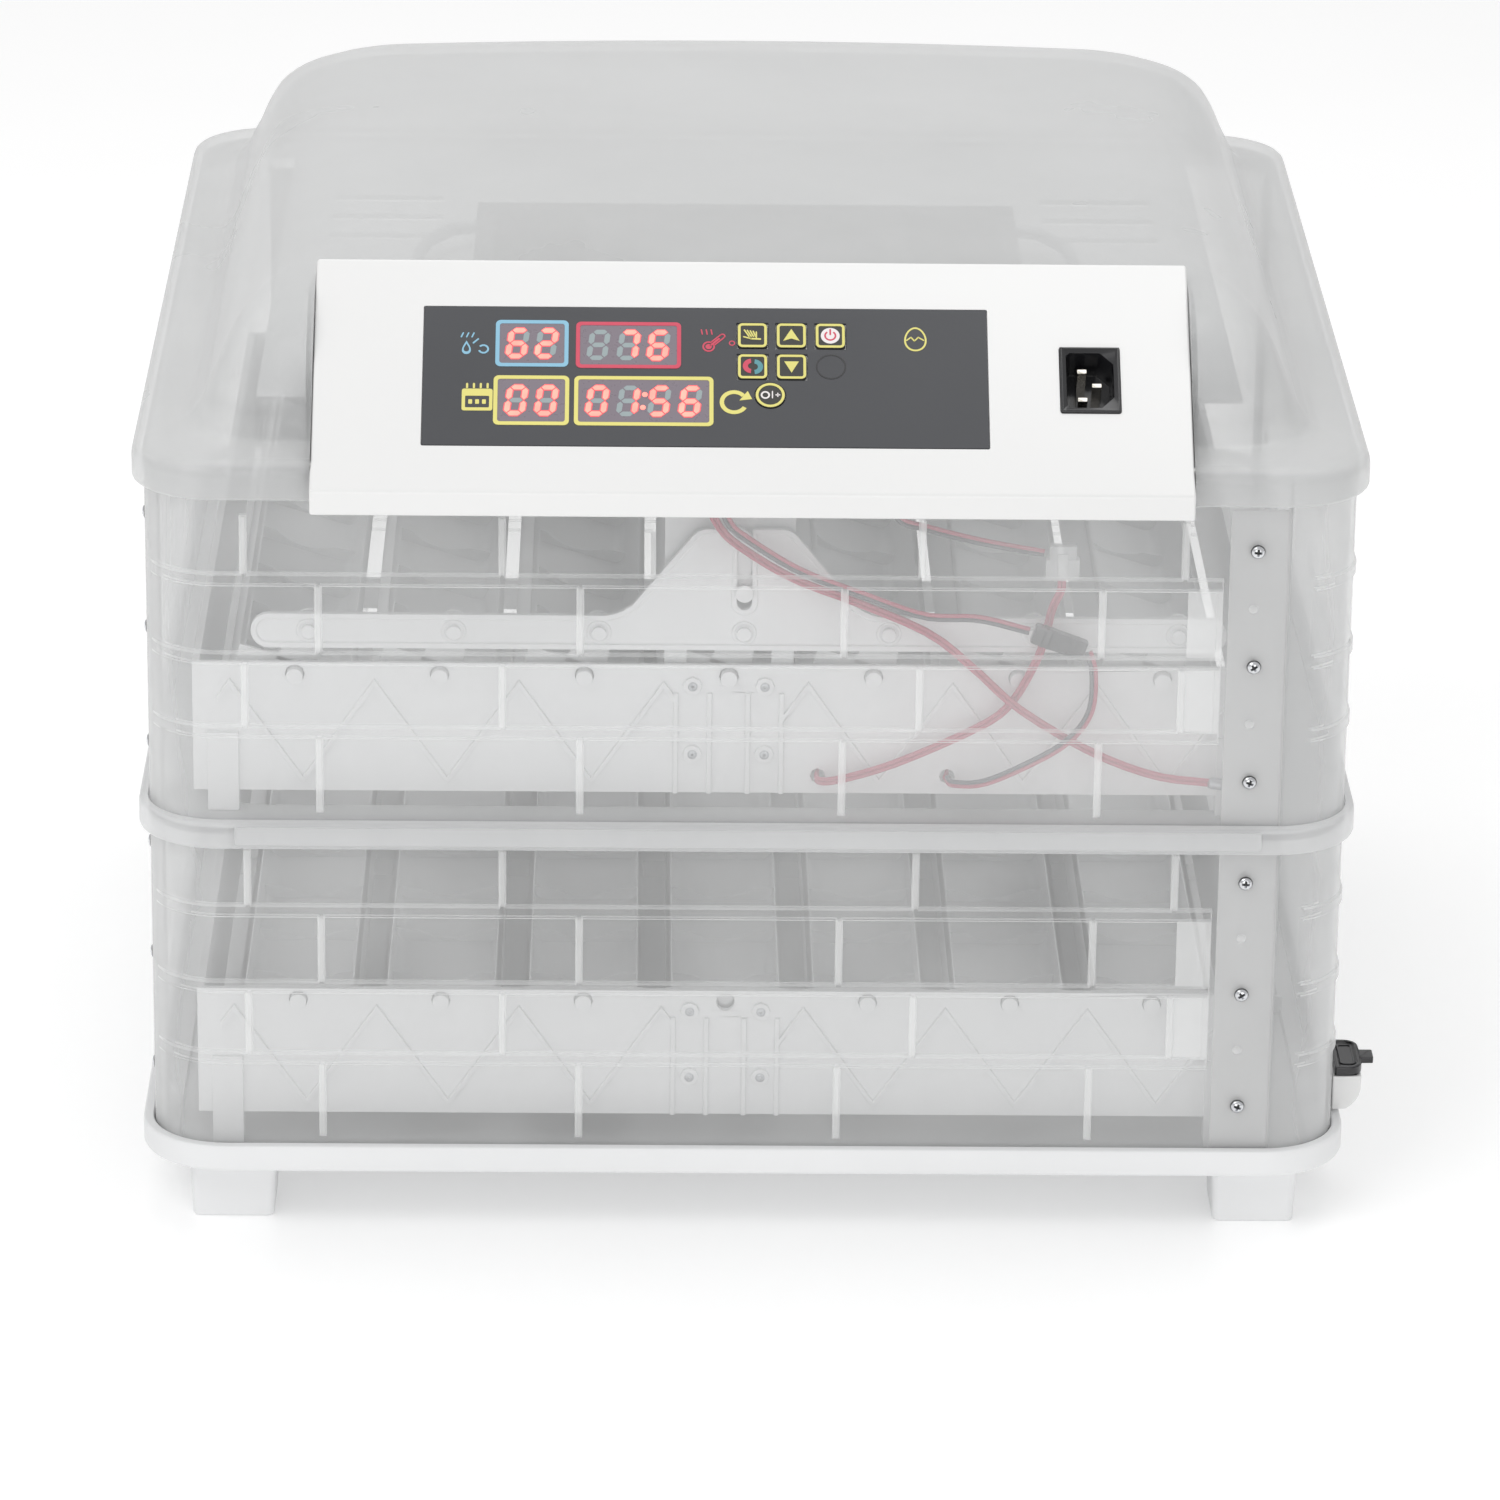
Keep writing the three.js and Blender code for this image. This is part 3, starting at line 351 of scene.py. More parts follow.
def arc(a, b, radius, start, end, steps):
    angles = [math.radians(start + (end - start) * i / steps) for i in range(steps + 1)]
    return [(a + radius * math.cos(t), b + radius * math.sin(t)) for t in angles]


def rounded_box(half_a, half_b, radius, steps=5, a=0, b=0):
    """An outline of a rounded rectangle about (a, b)."""
    ca, cb = half_a - radius, half_b - radius
    return (
        arc(a + ca, b + cb, radius, 0, 90, steps)
        + arc(a - ca, b + cb, radius, 90, 180, steps)
        + arc(a - ca, b - cb, radius, 180, 270, steps)
        + arc(a + ca, b - cb, radius, 270, 360, steps)
    )


def slab(outline, low, high, edge=0.0, place=lambda a, b, h: (a, b, h)):
    """An outline given a thickness, with its two rims rounded off by edge."""
    middle = Vector((sum(p[0] for p in outline), sum(p[1] for p in outline))) / len(outline)
    reach = max((Vector(p) - middle).length for p in outline)

    def ring(inset, height):
        scale = 1 - inset / reach
        return [place(*(middle + (Vector(p) - middle) * scale), height) for p in outline]

    if not edge:
        return loft([ring(0, low), ring(0, high)])
    soft = edge * 0.3
    return loft([
        ring(edge, low), ring(soft, low + soft), ring(0, low + edge),
        ring(0, high - edge), ring(soft, high - soft), ring(edge, high),
    ])


def front_outline(outline, y_back, y_front, edge=0.0):
    """An outline in X and Z, thick along Y."""
    return slab(outline, y_back, y_front, edge, lambda a, b, h: (a, h, b))


def face_point(x, y, height):
    """A place on the control box's sloping face: across, up the slope, and out of it."""
    cos, sin = math.cos(FACE_TILT), math.sin(FACE_TILT)
    return (x, BOX_FRONT + y * cos - height * sin, FACE_LOW + y * sin + height * cos)


def face_outline(outline, low, high, edge=0.0):
    return slab(outline, low, high, edge, face_point)


def lathe(profile, axis_start, direction, sides=32):
    """Rings of (radius, distance along) round an axis."""
    along = Vector(direction).normalized()
    across = along.orthogonal().normalized()
    other = along.cross(across)
    start = Vector(axis_start)
    rings = []
    for radius, distance in profile:
        ring = []
        for i in range(sides):
            angle = 2 * math.pi * i / sides
            ring.append(start + along * distance
                        + (across * math.cos(angle) + other * math.sin(angle)) * radius)
        rings.append(ring)
    return loft(rings)


def rod(start, end, radius, edge=0.4, sides=24):
    """A round bar with rounded rims."""
    length = (Vector(end) - Vector(start)).length
    profile = [(radius - edge, 0), (radius - edge * 0.3, edge * 0.3), (radius, edge),
               (radius, length - edge), (radius - edge * 0.3, length - edge * 0.3), (radius - edge, length)]
    return lathe(profile, start, Vector(end) - Vector(start), sides)


def box(x0, x1, y0, y1, z0, z1):
    outline = [(x0, y0), (x1, y0), (x1, y1), (x0, y1)]
    return slab(outline, z0, z1)


def frame_outline(outer, inner, low, high, place=face_point):
    """A flat ring between two outlines with as many points each."""
    def ring(outline, height):
        return [place(a, b, height) for a, b in outline]
    return loft([ring(inner, low), ring(outer, low), ring(outer, high), ring(inner, high)], closed=True)


def turned(shape, degrees):
    return Shape().join(shape, Matrix.Rotation(math.radians(degrees), 4, "Z"))


# ---------------------------------------------------------------- pieces
def mesh_of(name, shape, local=False):
    mesh = bpy.data.meshes.new(name)
    points = [p * MM for p in shape.points] if local else [at(*p) for p in shape.points]
    mesh.from_pydata(points, [], shape.faces)
    mesh.polygons.foreach_set("material_index", shape.paint)
    work = bmesh.new()
    work.from_mesh(mesh)
    bmesh.ops.recalc_face_normals(work, faces=work.faces)
    work.to_mesh(mesh)
    work.free()
    return mesh


def soften(obj, width):
    if width:
        edge = obj.modifiers.new("edge", "BEVEL")
        edge.width = width * MM
        edge.segments = 2
        edge.limit_method = "ANGLE"
        edge.angle_limit = math.radians(30)
        edge.use_clamp_overlap = False
    normals = obj.modifiers.new("normals", "WEIGHTED_NORMAL")
    normals.keep_sharp = True


def smooth(mesh):
    mesh.shade_smooth()
    mesh.set_sharp_from_angle(angle=math.radians(40))


def piece(name, shape, body, materials, stands_for=(), rounding=0.0, place=None, mesh=None):
    """A named piece that rides on a body."""
    obj = new_object(name, mesh or mesh_of(name, shape, place is not None))
    if not obj.data.materials:
        for material in materials:
            obj.data.materials.append(material)
        smooth(obj.data)
    if place is not None:
        obj.matrix_world = place
    soften(obj, rounding)
    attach(obj, body)
    if stands_for:
        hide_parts(*stands_for)
    return obj


def cut(obj, other, overlaps=False):
    """Cuts a shape or a mesh out of an object's mesh, and keeps the object's materials."""
    tool = new_object("tool", other if isinstance(other, bpy.types.Mesh) else mesh_of("tool", other))
    kept = [m.name for m in obj.modifiers]
    for name in kept:
        obj.modifiers[name].show_viewport = False
    change = obj.modifiers.new("change", "BOOLEAN")
    change.object = tool
    change.operation = "DIFFERENCE"
    change.solver = "EXACT"
    change.use_self = overlaps
    graph = bpy.context.evaluated_depsgraph_get()
    mesh = bpy.data.meshes.new_from_object(obj.evaluated_get(graph))
    obj.modifiers.remove(change)
    obj.data = mesh
    smooth(mesh)
    for name in kept:
        obj.modifiers[name].show_viewport = True
    bpy.data.objects.remove(tool)


def dress(node, material, rounding):
    """Gives a CAD node its material and small rounded edges."""
    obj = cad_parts[node]
    obj.data.materials.clear()
    obj.data.materials.append(material)
    if "custom_normal" in obj.data.attributes:
        obj.data.attributes.remove(obj.data.attributes["custom_normal"])
    obj.data.shade_smooth()
    weld = obj.modifiers.new("weld", "WELD")
    weld.merge_threshold = 0.00001
    soften(obj, rounding)


# ---------------------------------------------------------------- wires
FRONT_LAYER = -243.4
MIDDLE_LAYER = -239.4
BACK_LAYER = -235.6
WIRE_RADIUS = 0.9
WIRE_POINTS = 38
RED_AND_BLACK = (RED_WIRE, BLACK_WIRE)
TWO_RED = (RED_WIRE, RED_WIRE)

# Routes of the wire pairs, as in the CAD model. A point without a Y is in its lead's own layer.
LEADS = {
    "motor_lead": {
        "body": "lid", "colors": RED_AND_BLACK, "far_end": "connector", "on_it": ["black_plug"],
        "layer": FRONT_LAYER,
        "route": [
            (-14, -241.5, 340), (-14, -242.6, 328), (-9.5, 314), (-1.5, 306.5), (20, 293), (47, 282.3),
            (72, 273.6), (94, 272.6), (115, 267.4),
        ],
    },
    "probe_lead": {
        "body": "lid", "colors": TWO_RED, "far_end": "fitting", "on_it": ["probe_tip"],
        "layer": MIDDLE_LAYER,
        "route": [
            (-19.5, 340), (-19.5, 326), (-13.5, 311), (-4, 301.5), (18, 288), (45, 277.5), (74, 264.5),
            (93, 249), (112, 231.5), (142, 213), (169, 202.5), (192, 199.5),
        ],
    },
    "fan_lead": {
        "body": "lid", "colors": RED_AND_BLACK, "far_end": "connector", "on_it": ["clear_plug"],
        "layer": FRONT_LAYER,
        "route": [
            (59, -243, 340), (59.4, -243.2, 328), (60.5, 316), (72, 311.8), (95, 306), (120.2, 301.4),
        ],
    },
    "tier_lead": {
        "body": "upper_tier", "colors": TWO_RED, "far_end": "object", "on_it": [], "layer": BACK_LAYER,
        "route": [
            (127.8, -243, 289.9), (127.6, -241, 284), (124.6, -236.8, 275), (122, 262), (118, 250),
            (108, 232), (94, 221.4), (61, 205.8), (38, -235.8, 198.6), (29, -234.5, 197.6),
            (29, -224, 197.6),
        ],
    },
    "turner_lead": {
        "body": "upper_tier", "colors": RED_AND_BLACK, "far_end": "object", "on_it": [],
        "layer": FRONT_LAYER,
        "route": [
            (139.6, 258.4), (142, 249), (141, 232), (132, 219), (116.5, 209), (98, -242, 200),
            (86, -238, 197.8), (83, -233, 197.6), (83, -224, 197.6),
        ],
    },
}


def route_of(name):
    lead = LEADS[name]
    return [Vector(p if len(p) == 3 else (p[0], lead["layer"], p[1])) for p in lead["route"]]


def smooth_route(route, count):
    """Points along a smooth curve through the route, evenly numbered from end to end."""
    points = [Vector(p) for p in route]
    points = [2 * points[0] - points[1], *points, 2 * points[-1] - points[-2]]
    spans = len(route) - 1
    made = []
    for i in range(count):
        position = min(i * spans / (count - 1), spans - 1e-6)
        k = int(position)
        t = position - k
        a, b, c, d = points[k:k + 4]
        made.append(
            0.5 * (2 * b + (c - a) * t + (2 * a - 5 * b + 4 * c - d) * t * t
                   + (3 * b - a - 3 * c + d) * t ** 3)
        )
    return made


def wire(name, path, material, body):
    curve = bpy.data.curves.new(name, "CURVE")
    curve.dimensions = "3D"
    curve.bevel_depth = WIRE_RADIUS * MM
    curve.bevel_resolution = 4
    curve.use_fill_caps = True
    spline = curve.splines.new("POLY")
    spline.points.add(len(path) - 1)
    for point, place in zip(spline.points, path):
        point.co = (*place, 1)
    spline.use_smooth = True
    curve.materials.append(material)
    obj = new_object(name, curve)
    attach(obj, body)
    return obj


def make_lead(name):
    """Two wires side by side along the lead's route. The first stands for the CAD node."""
    lead = LEADS[name]
    middle = smooth_route(route_of(name), WIRE_POINTS)
    for side, material in zip((-1, 1), lead["colors"]):
        path = []
        for i, point in enumerate(middle):
            along = middle[min(i + 1, WIRE_POINTS - 1)] - middle[max(i - 1, 0)]
            aside = Vector((along.z, 0, -along.x))
            aside = aside.normalized() if aside.length > 0.01 else Vector((1, 0, 0))
            path.append(at(*(point + aside * side * WIRE_RADIUS)))
        label = f"{name}_{'a' if side < 0 else 'b'}"
        obj = wire(label, path, material, lead["body"])
        if side < 0:
            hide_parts(name)


def probe_tip():
    end = route_of("probe_lead")[-1]
    profile = [(1.2, 0), (2.2, 0.6), (2.5, 2), (2.5, 13), (2.2, 15), (1.2, 16.2), (0.2, 16.6)]
    tip = lathe(profile, end - Vector((1, 0, 0)), (1, 0, -0.12))
    piece("probe_tip", tip, "lid", [DULL_STEEL])


def connectors():
    """Two in-line plugs on the wires: a black one with a latch, and a clear one."""
    black = Shape()
    black.join(slab(rounded_box(11.5, 2.5, 0.8), -4, 4, 0.5))
    for x in (-7, -4, 4, 7):
        black.join(slab(rounded_box(0.6, 2.5, 0.2, 2, x), -4.2, 4.2, 0.1))
    black.join(slab(rounded_box(3.4, 0.6, 0.3, 3, 1.5, -2.4), -1.8, 1.8, 0.2))
    place = Matrix.Translation(Vector((127.4, FRONT_LAYER, 262.9)))
    place = place @ Matrix.Rotation(math.radians(20), 4, "Y")
    piece("black_plug", Shape().join(black, place), "upper_tier", [GLOSS_BLACK],
          ["black_connector"])
    clear = Shape()
    clear.join(slab(rounded_box(7, 2.5, 0.7), -7.2, 1.5, 0.5))
    clear.join(slab(rounded_box(5.6, 2.1, 0.6), 1.2, 7.2, 0.5))
    for x in (-3, 3):
        clear.join(slab(rounded_box(1.1, 1.0, 0.3, 3, x), -6.5, 6.5, 0.2), paint=1)
    clear.join(slab(rounded_box(2.2, 0.5, 0.2, 2, 0, -2.4), -5, 4, 0.2))
    place = Matrix.Translation(Vector((127.9, FRONT_LAYER, 297.8)))
    piece("clear_plug", Shape().join(clear, place), "lid", [DENSE_CLEAR_AND_EDGE_HIGHLIGHT, DULL_STEEL],
          ["clear_connector"])


# ---------------------------------------------------------------- walls
END_ANGLE = math.degrees(math.asin((WALL_END - CORNER) / WALL_RADIUS))
STEP_ANGLE = 180 + END_ANGLE + 0.6
RIB_EDGE = 0.4
TONGUE_DROP = {"lower": 0, "upper": 14}  # how far a wall's tongue stops below its top


def ramp(distance, half):
    """1 inside a rib of that half width, falling to 0 over its rounded edge."""
    return max(0.0, min(1.0, (half + RIB_EDGE - abs(distance)) / (2 * RIB_EDGE)))


def edge_lines(middle, half):
    return [middle + side * half + step for side in (-1, 1) for step in (-RIB_EDGE, RIB_EDGE)]


def bent_line(x, radius, start, end, steps):
    """Places round a wall's corner: outer point, way out and angle, without the first."""
    places = []
    for i in range(1, steps + 1):
        angle = math.radians(start + (end - start) * i / steps)
        out = Vector((math.cos(angle), math.sin(angle)))
        places.append((Vector((x, -CORNER)) + out * radius, out, angle))
    return places


def wall_line():
    """Places along a wall, right end first: outer point, way out, X on the flat face, kind."""
    line = []
    steps = 4
    for i in range(steps):
        angle = math.radians(END_ANGLE - 90 - END_ANGLE * i / steps)
        out = Vector((math.cos(angle), math.sin(angle)))
        line.append((Vector((CORNER, -CORNER)) + out * WALL_RADIUS, out, CORNER + i, "bend"))
    stations = {CORNER, -CORNER, TONGUE_END, RIB_END - UPRIGHT_RIB - RIB_EDGE, RIB_END - UPRIGHT_RIB,
                RIB_END - RIB_EDGE, RIB_END}
    for row in RIB_ROWS:
        for x in row:
            stations.update(s for s in edge_lines(x, UPRIGHT_RIB / 2) if abs(s) < CORNER)
    for x in sorted(stations, reverse=True):
        line.append((Vector((x, -WALL_HALF)), Vector((0, -1)), x, "flat"))
    for point, out, angle in bent_line(-CORNER, WALL_RADIUS, 270, STEP_ANGLE, 20):
        line.append((point, out, -CORNER - WALL_RADIUS * (math.radians(270) - angle), "bend"))
    for point, out, angle in bent_line(-CORNER, WALL_RADIUS - WALL_LAP, STEP_ANGLE - 1.2, 180, 6):
        line.append((point, out, 0, "tongue"))
    line.append((Vector((WALL_LAP - WALL_HALF, -TONGUE_END)), Vector((-1, 0)), 0, "tongue"))
    return line


def wall_shape(tier):
    bottom, top = WALL_SPANS[tier]
    floor = TIER_FLOORS[tier]
    ribs = [floor + h for h in RIB_HEIGHTS]
    bands = [floor + 3, *ribs, floor + 133]
    heights = {bottom, bottom + 0.4, top, top - 0.4, bands[0], bands[0] + 0.8, bands[-1], bands[-1] - 0.8}
    for z in ribs:
        heights.update(edge_lines(z, RIB_SIZE / 2))
    heights = sorted(heights)
    line = wall_line()
    first = -CORNER - WALL_RADIUS * math.radians(270 - RIB_START)

    def proud(x, kind, z):
        """How far the ribs lift the outer face at this place."""
        if kind == "tongue" or x >= RIB_END or not bands[0] < z < bands[-1]:
            return 0.0
        fade = max(0.0, min(1.0, (x - first) / 9))
        level = fade * max(ramp(z - rib, RIB_SIZE / 2) for rib in ribs)
        band = min(range(4), key=lambda i: abs(z - (bands[i] + bands[i + 1]) / 2))
        stand = max(ramp(x - rib, UPRIGHT_RIB / 2) for rib in RIB_ROWS[band % 2])
        if ribs[0] < z < ribs[-1]:
            stand = max(stand, ramp(x - RIB_END + UPRIGHT_RIB / 2 + RIB_EDGE, UPRIGHT_RIB / 2))
        return RIB_DEPTH * max(level, stand)

    outer, inner, rise = [], [], []
    short = (top - bottom - TONGUE_DROP[tier]) / (top - bottom)
    for z in heights:
        for point, out, x, kind in line:
            edge = 0.3 if z in (bottom, top) else 0.0
            height = proud(x, kind, z)
            level = bottom + (z - bottom) * short if kind == "tongue" else z
            rise.append(height)
            outer.append((*(point + out * (height - edge)), level))
            inner.append((*(point - out * (WALL_THICKNESS - edge)), level))
    width = len(line)
    count = len(outer)
    shape = Shape()
    faces, paint = [], []
    for level in range(len(heights) - 1):
        for i in range(width - 1):
            a = level * width + i
            quad = [a, a + 1, a + 1 + width, a + width]
            kind = line[i + 1][3]
            lifts = [rise[k] for k in quad]
            sloped = max(lifts) - min(lifts) > 0.3 * RIB_DEPTH
            narrow = min(lifts) > 0.3 * RIB_DEPTH and abs(line[i][2] - line[i + 1][2]) < UPRIGHT_RIB
            upright = narrow and heights[level + 1] - heights[level] > RIB_SIZE
            # Rib sides and upright rib tops take the whiter material: partly denser plastic, partly painted
            # highlight along the rib edges.
            tone = 2 if kind == "tongue" else 1 if sloped or upright else 0
            faces.append(quad)
            paint.append(tone)
            faces.append([k + count for k in quad[::-1]])
            paint.append(tone)
        # The panel's two end faces take the whiter material as a painted highlight along those edges.
        for i in (0, width - 1):
            a = level * width + i
            faces.append([a, a + width, a + width + count, a + count])
            paint.append(1)
    # The top and bottom rims take the whiter material as a painted highlight along those edges.
    for level in (0, len(heights) - 1):
        for i in range(width - 1):
            a = level * width + i
            faces.append([a, a + 1, a + 1 + count, a + count])
            paint.append(1)
    shape.add(outer + inner, faces)
    shape.paint = paint
    return shape


def walls():
    for tier, body in TIER_BODIES.items():
        shape = wall_shape(tier)
        for side, turn in TURNS.items():
            name = f"{tier}_wall_{side}"
            piece(f"{name}_panel", turned(shape, turn), body, [CLEAR, DENSE_CLEAR_AND_EDGE_HIGHLIGHT, FROSTED],
                  [name])


# ---------------------------------------------------------------- screws and locating bumps
SCREW_X = 207.5
SCREW_HEIGHTS = (19, 69.8, 120)


def screw_head():
    """A pan head with a cross cut in it, its axis along -Y and its seat at the origin. The cross recess and
    a ring round the rim are painted dark as shade.
    """
    radius = 3.0
    rings = [(radius - 0.3, -0.1), (radius, 0.3), (radius - 0.25, 1.0), (radius - 0.9, 1.55), (1.1, 1.85),
             (0.2, 1.9)]
    obj = new_object("screw", mesh_of("screw", lathe(rings, (0, 0, 0), (0, -1, 0), 28), True))
    cross = Shape()
    for turn in (20, 110):
        wide, narrow = [[(-a, y, -b), (a, y, -b), (a, y, b), (-a, y, b)]
                        for a, y, b in ((2.0, -2.4, 0.6), (0.9, -0.5, 0.3))]
        sides = [[i, i + 4, (i + 1) % 4 + 4, (i + 1) % 4] for i in range(4)]
        blade = Shape().add(wide + narrow, [[0, 1, 2, 3], [7, 6, 5, 4], *sides])
        cross.join(blade, Matrix.Rotation(math.radians(turn), 4, "Y"))
    cut(obj, mesh_of("tool", cross, True), overlaps=True)
    mesh = obj.data
    shape = Shape().add([v.co / MM for v in mesh.vertices], [list(f.vertices) for f in mesh.polygons])
    for i, face in enumerate(mesh.polygons):
        middle = face.center / MM
        reach = math.hypot(middle.x, middle.z)
        # Painted shade: faces inside the cross recess, and a painted shadow ring round the rim, take the
        # dark material.
        in_cross = reach < 2.0 and -middle.y < 1.3
        shape.paint[i] = 1 if in_cross or reach > radius - 0.2 else 0
    bpy.data.objects.remove(obj)
    return shape


def fasteners():
    head = screw_head()
    seat = -WALL_HALF + 0.1
    for tier, body in TIER_BODIES.items():
        floor = TIER_FLOORS[tier]
        for side, turn in TURNS.items():
            screws = Shape()
            bumps = Shape()
            for i, height in enumerate(SCREW_HEIGHTS):
                spin = Matrix.Rotation(math.radians(37 * i + turn), 4, "Y")
                screws.join(head, Matrix.Translation(Vector((SCREW_X, seat, floor + height))) @ spin)
            for height in (44.5, 95):
                bumps.join(lathe([(2.0, 0), (1.8, 0.2), (1.1, 0.35), (0.2, 0.4)],
                                 (SCREW_X - 1, seat, floor + height), (0, -1, 0), 20))
            piece(f"{tier}_screws_{side}", turned(screws, turn), body, [STEEL, SCREW_SHADE])
            piece(f"{tier}_bumps_{side}", turned(bumps, turn), body, [CLEAR])


# ---------------------------------------------------------------- base, middle frame and lid
def square_ring(half, radius, z, steps=14):
    return [(x, y, z) for x, y in rounded_box(half, half, radius, steps)]


def about_walls(half):
    """The corner radius that keeps the walls' corner centres."""
    return half - WALL_HALF + WALL_RADIUS


def base_pan():
    half, bottom, top = 255, 27, 39
    floor, seat = bottom + 3, 32
    step, inside = WALL_HALF - 10, WALL_HALF + SLIP
    profile = [
        (half - 3, bottom), (half - 2, bottom), (half - 0.8, bottom + 0.6), (half, bottom + 2),
        (half, top - 1), (half - 0.4, top - 0.3), (half - 1, top), (inside + 0.5, top), (inside, top - 0.5),
        (inside, seat + 0.1), (inside - 0.2, seat), (step + 0.4, seat), (step, seat - 0.4),
        (step, floor + 0.4), (step - 0.4, floor),
    ]
    shape = loft([square_ring(h, about_walls(h), z) for h, z in profile])
    for y in (-80, 80):
        shape.join(slab(rounded_box(241, 1.2, 0.6, 4, 0, y), floor - 1, floor + 8, 0.4))
    piece("base_pan_shell", shape, "base", [BASE_WHITE], ["base_pan"])


def middle_frame():
    half, bottom, top = 254.5, 172.8, 184.8
    groove = WALL_HALF + SLIP
    low_seat, high_seat, opening = 178, 181, 222
    outside = [
        (groove, bottom), (half - 1.2, bottom), (half - 0.3, bottom + 0.4), (half, bottom + 1.3),
        (half, bottom + 6), (half, top - 2.2), (half - 0.4, top - 0.7), (half - 1.3, top),
        (groove + 0.3, top), (groove, top - 0.4), (groove, high_seat),
    ]
    inside = [(opening + 1, 21, high_seat), (opening, 20, high_seat - 0.8), (opening, 20, low_seat + 0.8),
              (opening + 1, 21, low_seat), (groove, about_walls(groove), low_seat)]
    rings = [square_ring(h, about_walls(h), z) for h, z in outside]
    rings += [square_ring(*ring) for ring in inside]
    shape = loft(rings, closed=True)
    land = rounded_box(213, 4, 1, 4, 0, bottom + 6)
    shape.join(front_outline(land, -half + 1, -half - 0.4, 0.3))
    piece("middle_frame_shell", shape, "upper_tier", [MILKY_RING], ["middle_frame"])


def smooth_levels(levels, steps):
    """More levels on a smooth curve through the given ones."""
    return [tuple(p) for p in smooth_route(levels, steps * (len(levels) - 1) + 1)]


LID_HALF = 255
LID_SKIN = 2.8
LID_LIP = [(251.4, 31.9, 325.5), (254.2, 35, 325.5), (254.8, 35.8, 326.1), (255, 36, 327)]
LID_RIM = [(255, 36, 334.6), (254.8, 35.8, 336.4), (254.1, 35, 338.3), (252.4, 33.8, 339.9),
           (249.6, 33.4, 340.9), (246.5, 34, 341.4), (241, 36, 342)]
LID_DOME = [(236.5, 37, 342.7), (232.6, 37, 343.8), (229.8, 36.5, 346.8), (226.8, 36, 351.5),
            (224.8, 36, 357), (221.5, 36, 364), (216.5, 35, 376), (209.5, 34, 387), (198, 33, 395.5),
            (181, 31, 400.8), (148, 28, 403.4), (80, 20, 405.2), (30, 12, 405.9), (6, 3, 406)]
LID_INSIDE = [(60, 20, 402), (146, 26, 400), (174, 29, 397.4), (195, 31, 392), (205, 32, 385),
              (213, 33, 374.6), (218.3, 33, 364), (221.8, 33, 354.5), (223.8, 33, 345),
              (227.5, 33, 340.6), (233, 33, 339.2), (243, 33, 337.4)]
CROWN = 1.8  # how far the top edge rises at the middle of each side


def crowned_ring(half, radius, z):
    """A level ring of the lid. Its sides rise towards their middles, more so near the top edge."""
    sides = 10
    corner = half - radius
    flat = [corner - 2 * corner * i / sides for i in range(1, sides)]
    plan = []
    arcs = rounded_box(half, half, radius, 10)
    for quarter, (along, across) in enumerate(((0, 1), (-1, 0), (0, -1), (1, 0))):
        plan += arcs[quarter * 11:(quarter + 1) * 11]
        for step in flat:
            plan.append((along * half, -step * along) if along else (step * across, across * half))
    strength = CROWN * max(0.0, min(1.0, (z - 345) / 45)) * (half / 190) ** 2
    return [(x, y, z + strength * (1 - 1.6 * (min(abs(x), abs(y)) / 160) ** 2)) for x, y in plan]


def lid_shell():
    """The outside less the inside. The inside stops short of the control box's niche, so a wall stays."""
    skin = LID_SKIN
    side, back, low = BOX_HALF + 0.3, BOX_BACK + 0.3, BOX_FLOOR - 0.3
    inside = [(WALL_HALF + SLIP, WALL_RADIUS + SLIP, 320), (WALL_HALF + SLIP, WALL_RADIUS + SLIP, 336)]
    inside += smooth_levels(LID_INSIDE[::-1], 3)
    hollow = new_object("hollow", mesh_of("hollow", loft([crowned_ring(*ring) for ring in inside])))
    cut(hollow, box(-side - skin, side + skin, -300, back + skin, low - skin, 420))
    outside = LID_LIP + LID_RIM + smooth_levels(LID_DOME, 3)
    skin_shape = loft([crowned_ring(*ring) for ring in outside])
    lid = piece("lid_dome", skin_shape, "lid", [MILKY], ["lid_shell"])
    cut(lid, hollow.data)
    bpy.data.objects.remove(hollow)
    cut(lid, box(-side, side, -262, back, low, 420))
    for x in (-16.5, 59):
        cut(lid, lathe([(7, 0), (7, 12)], (x, -240.5, 333), (0, 0, 1), 24))


# ---------------------------------------------------------------- control box
COVER_WALL = 2.5
COVER_FACE = 2.8


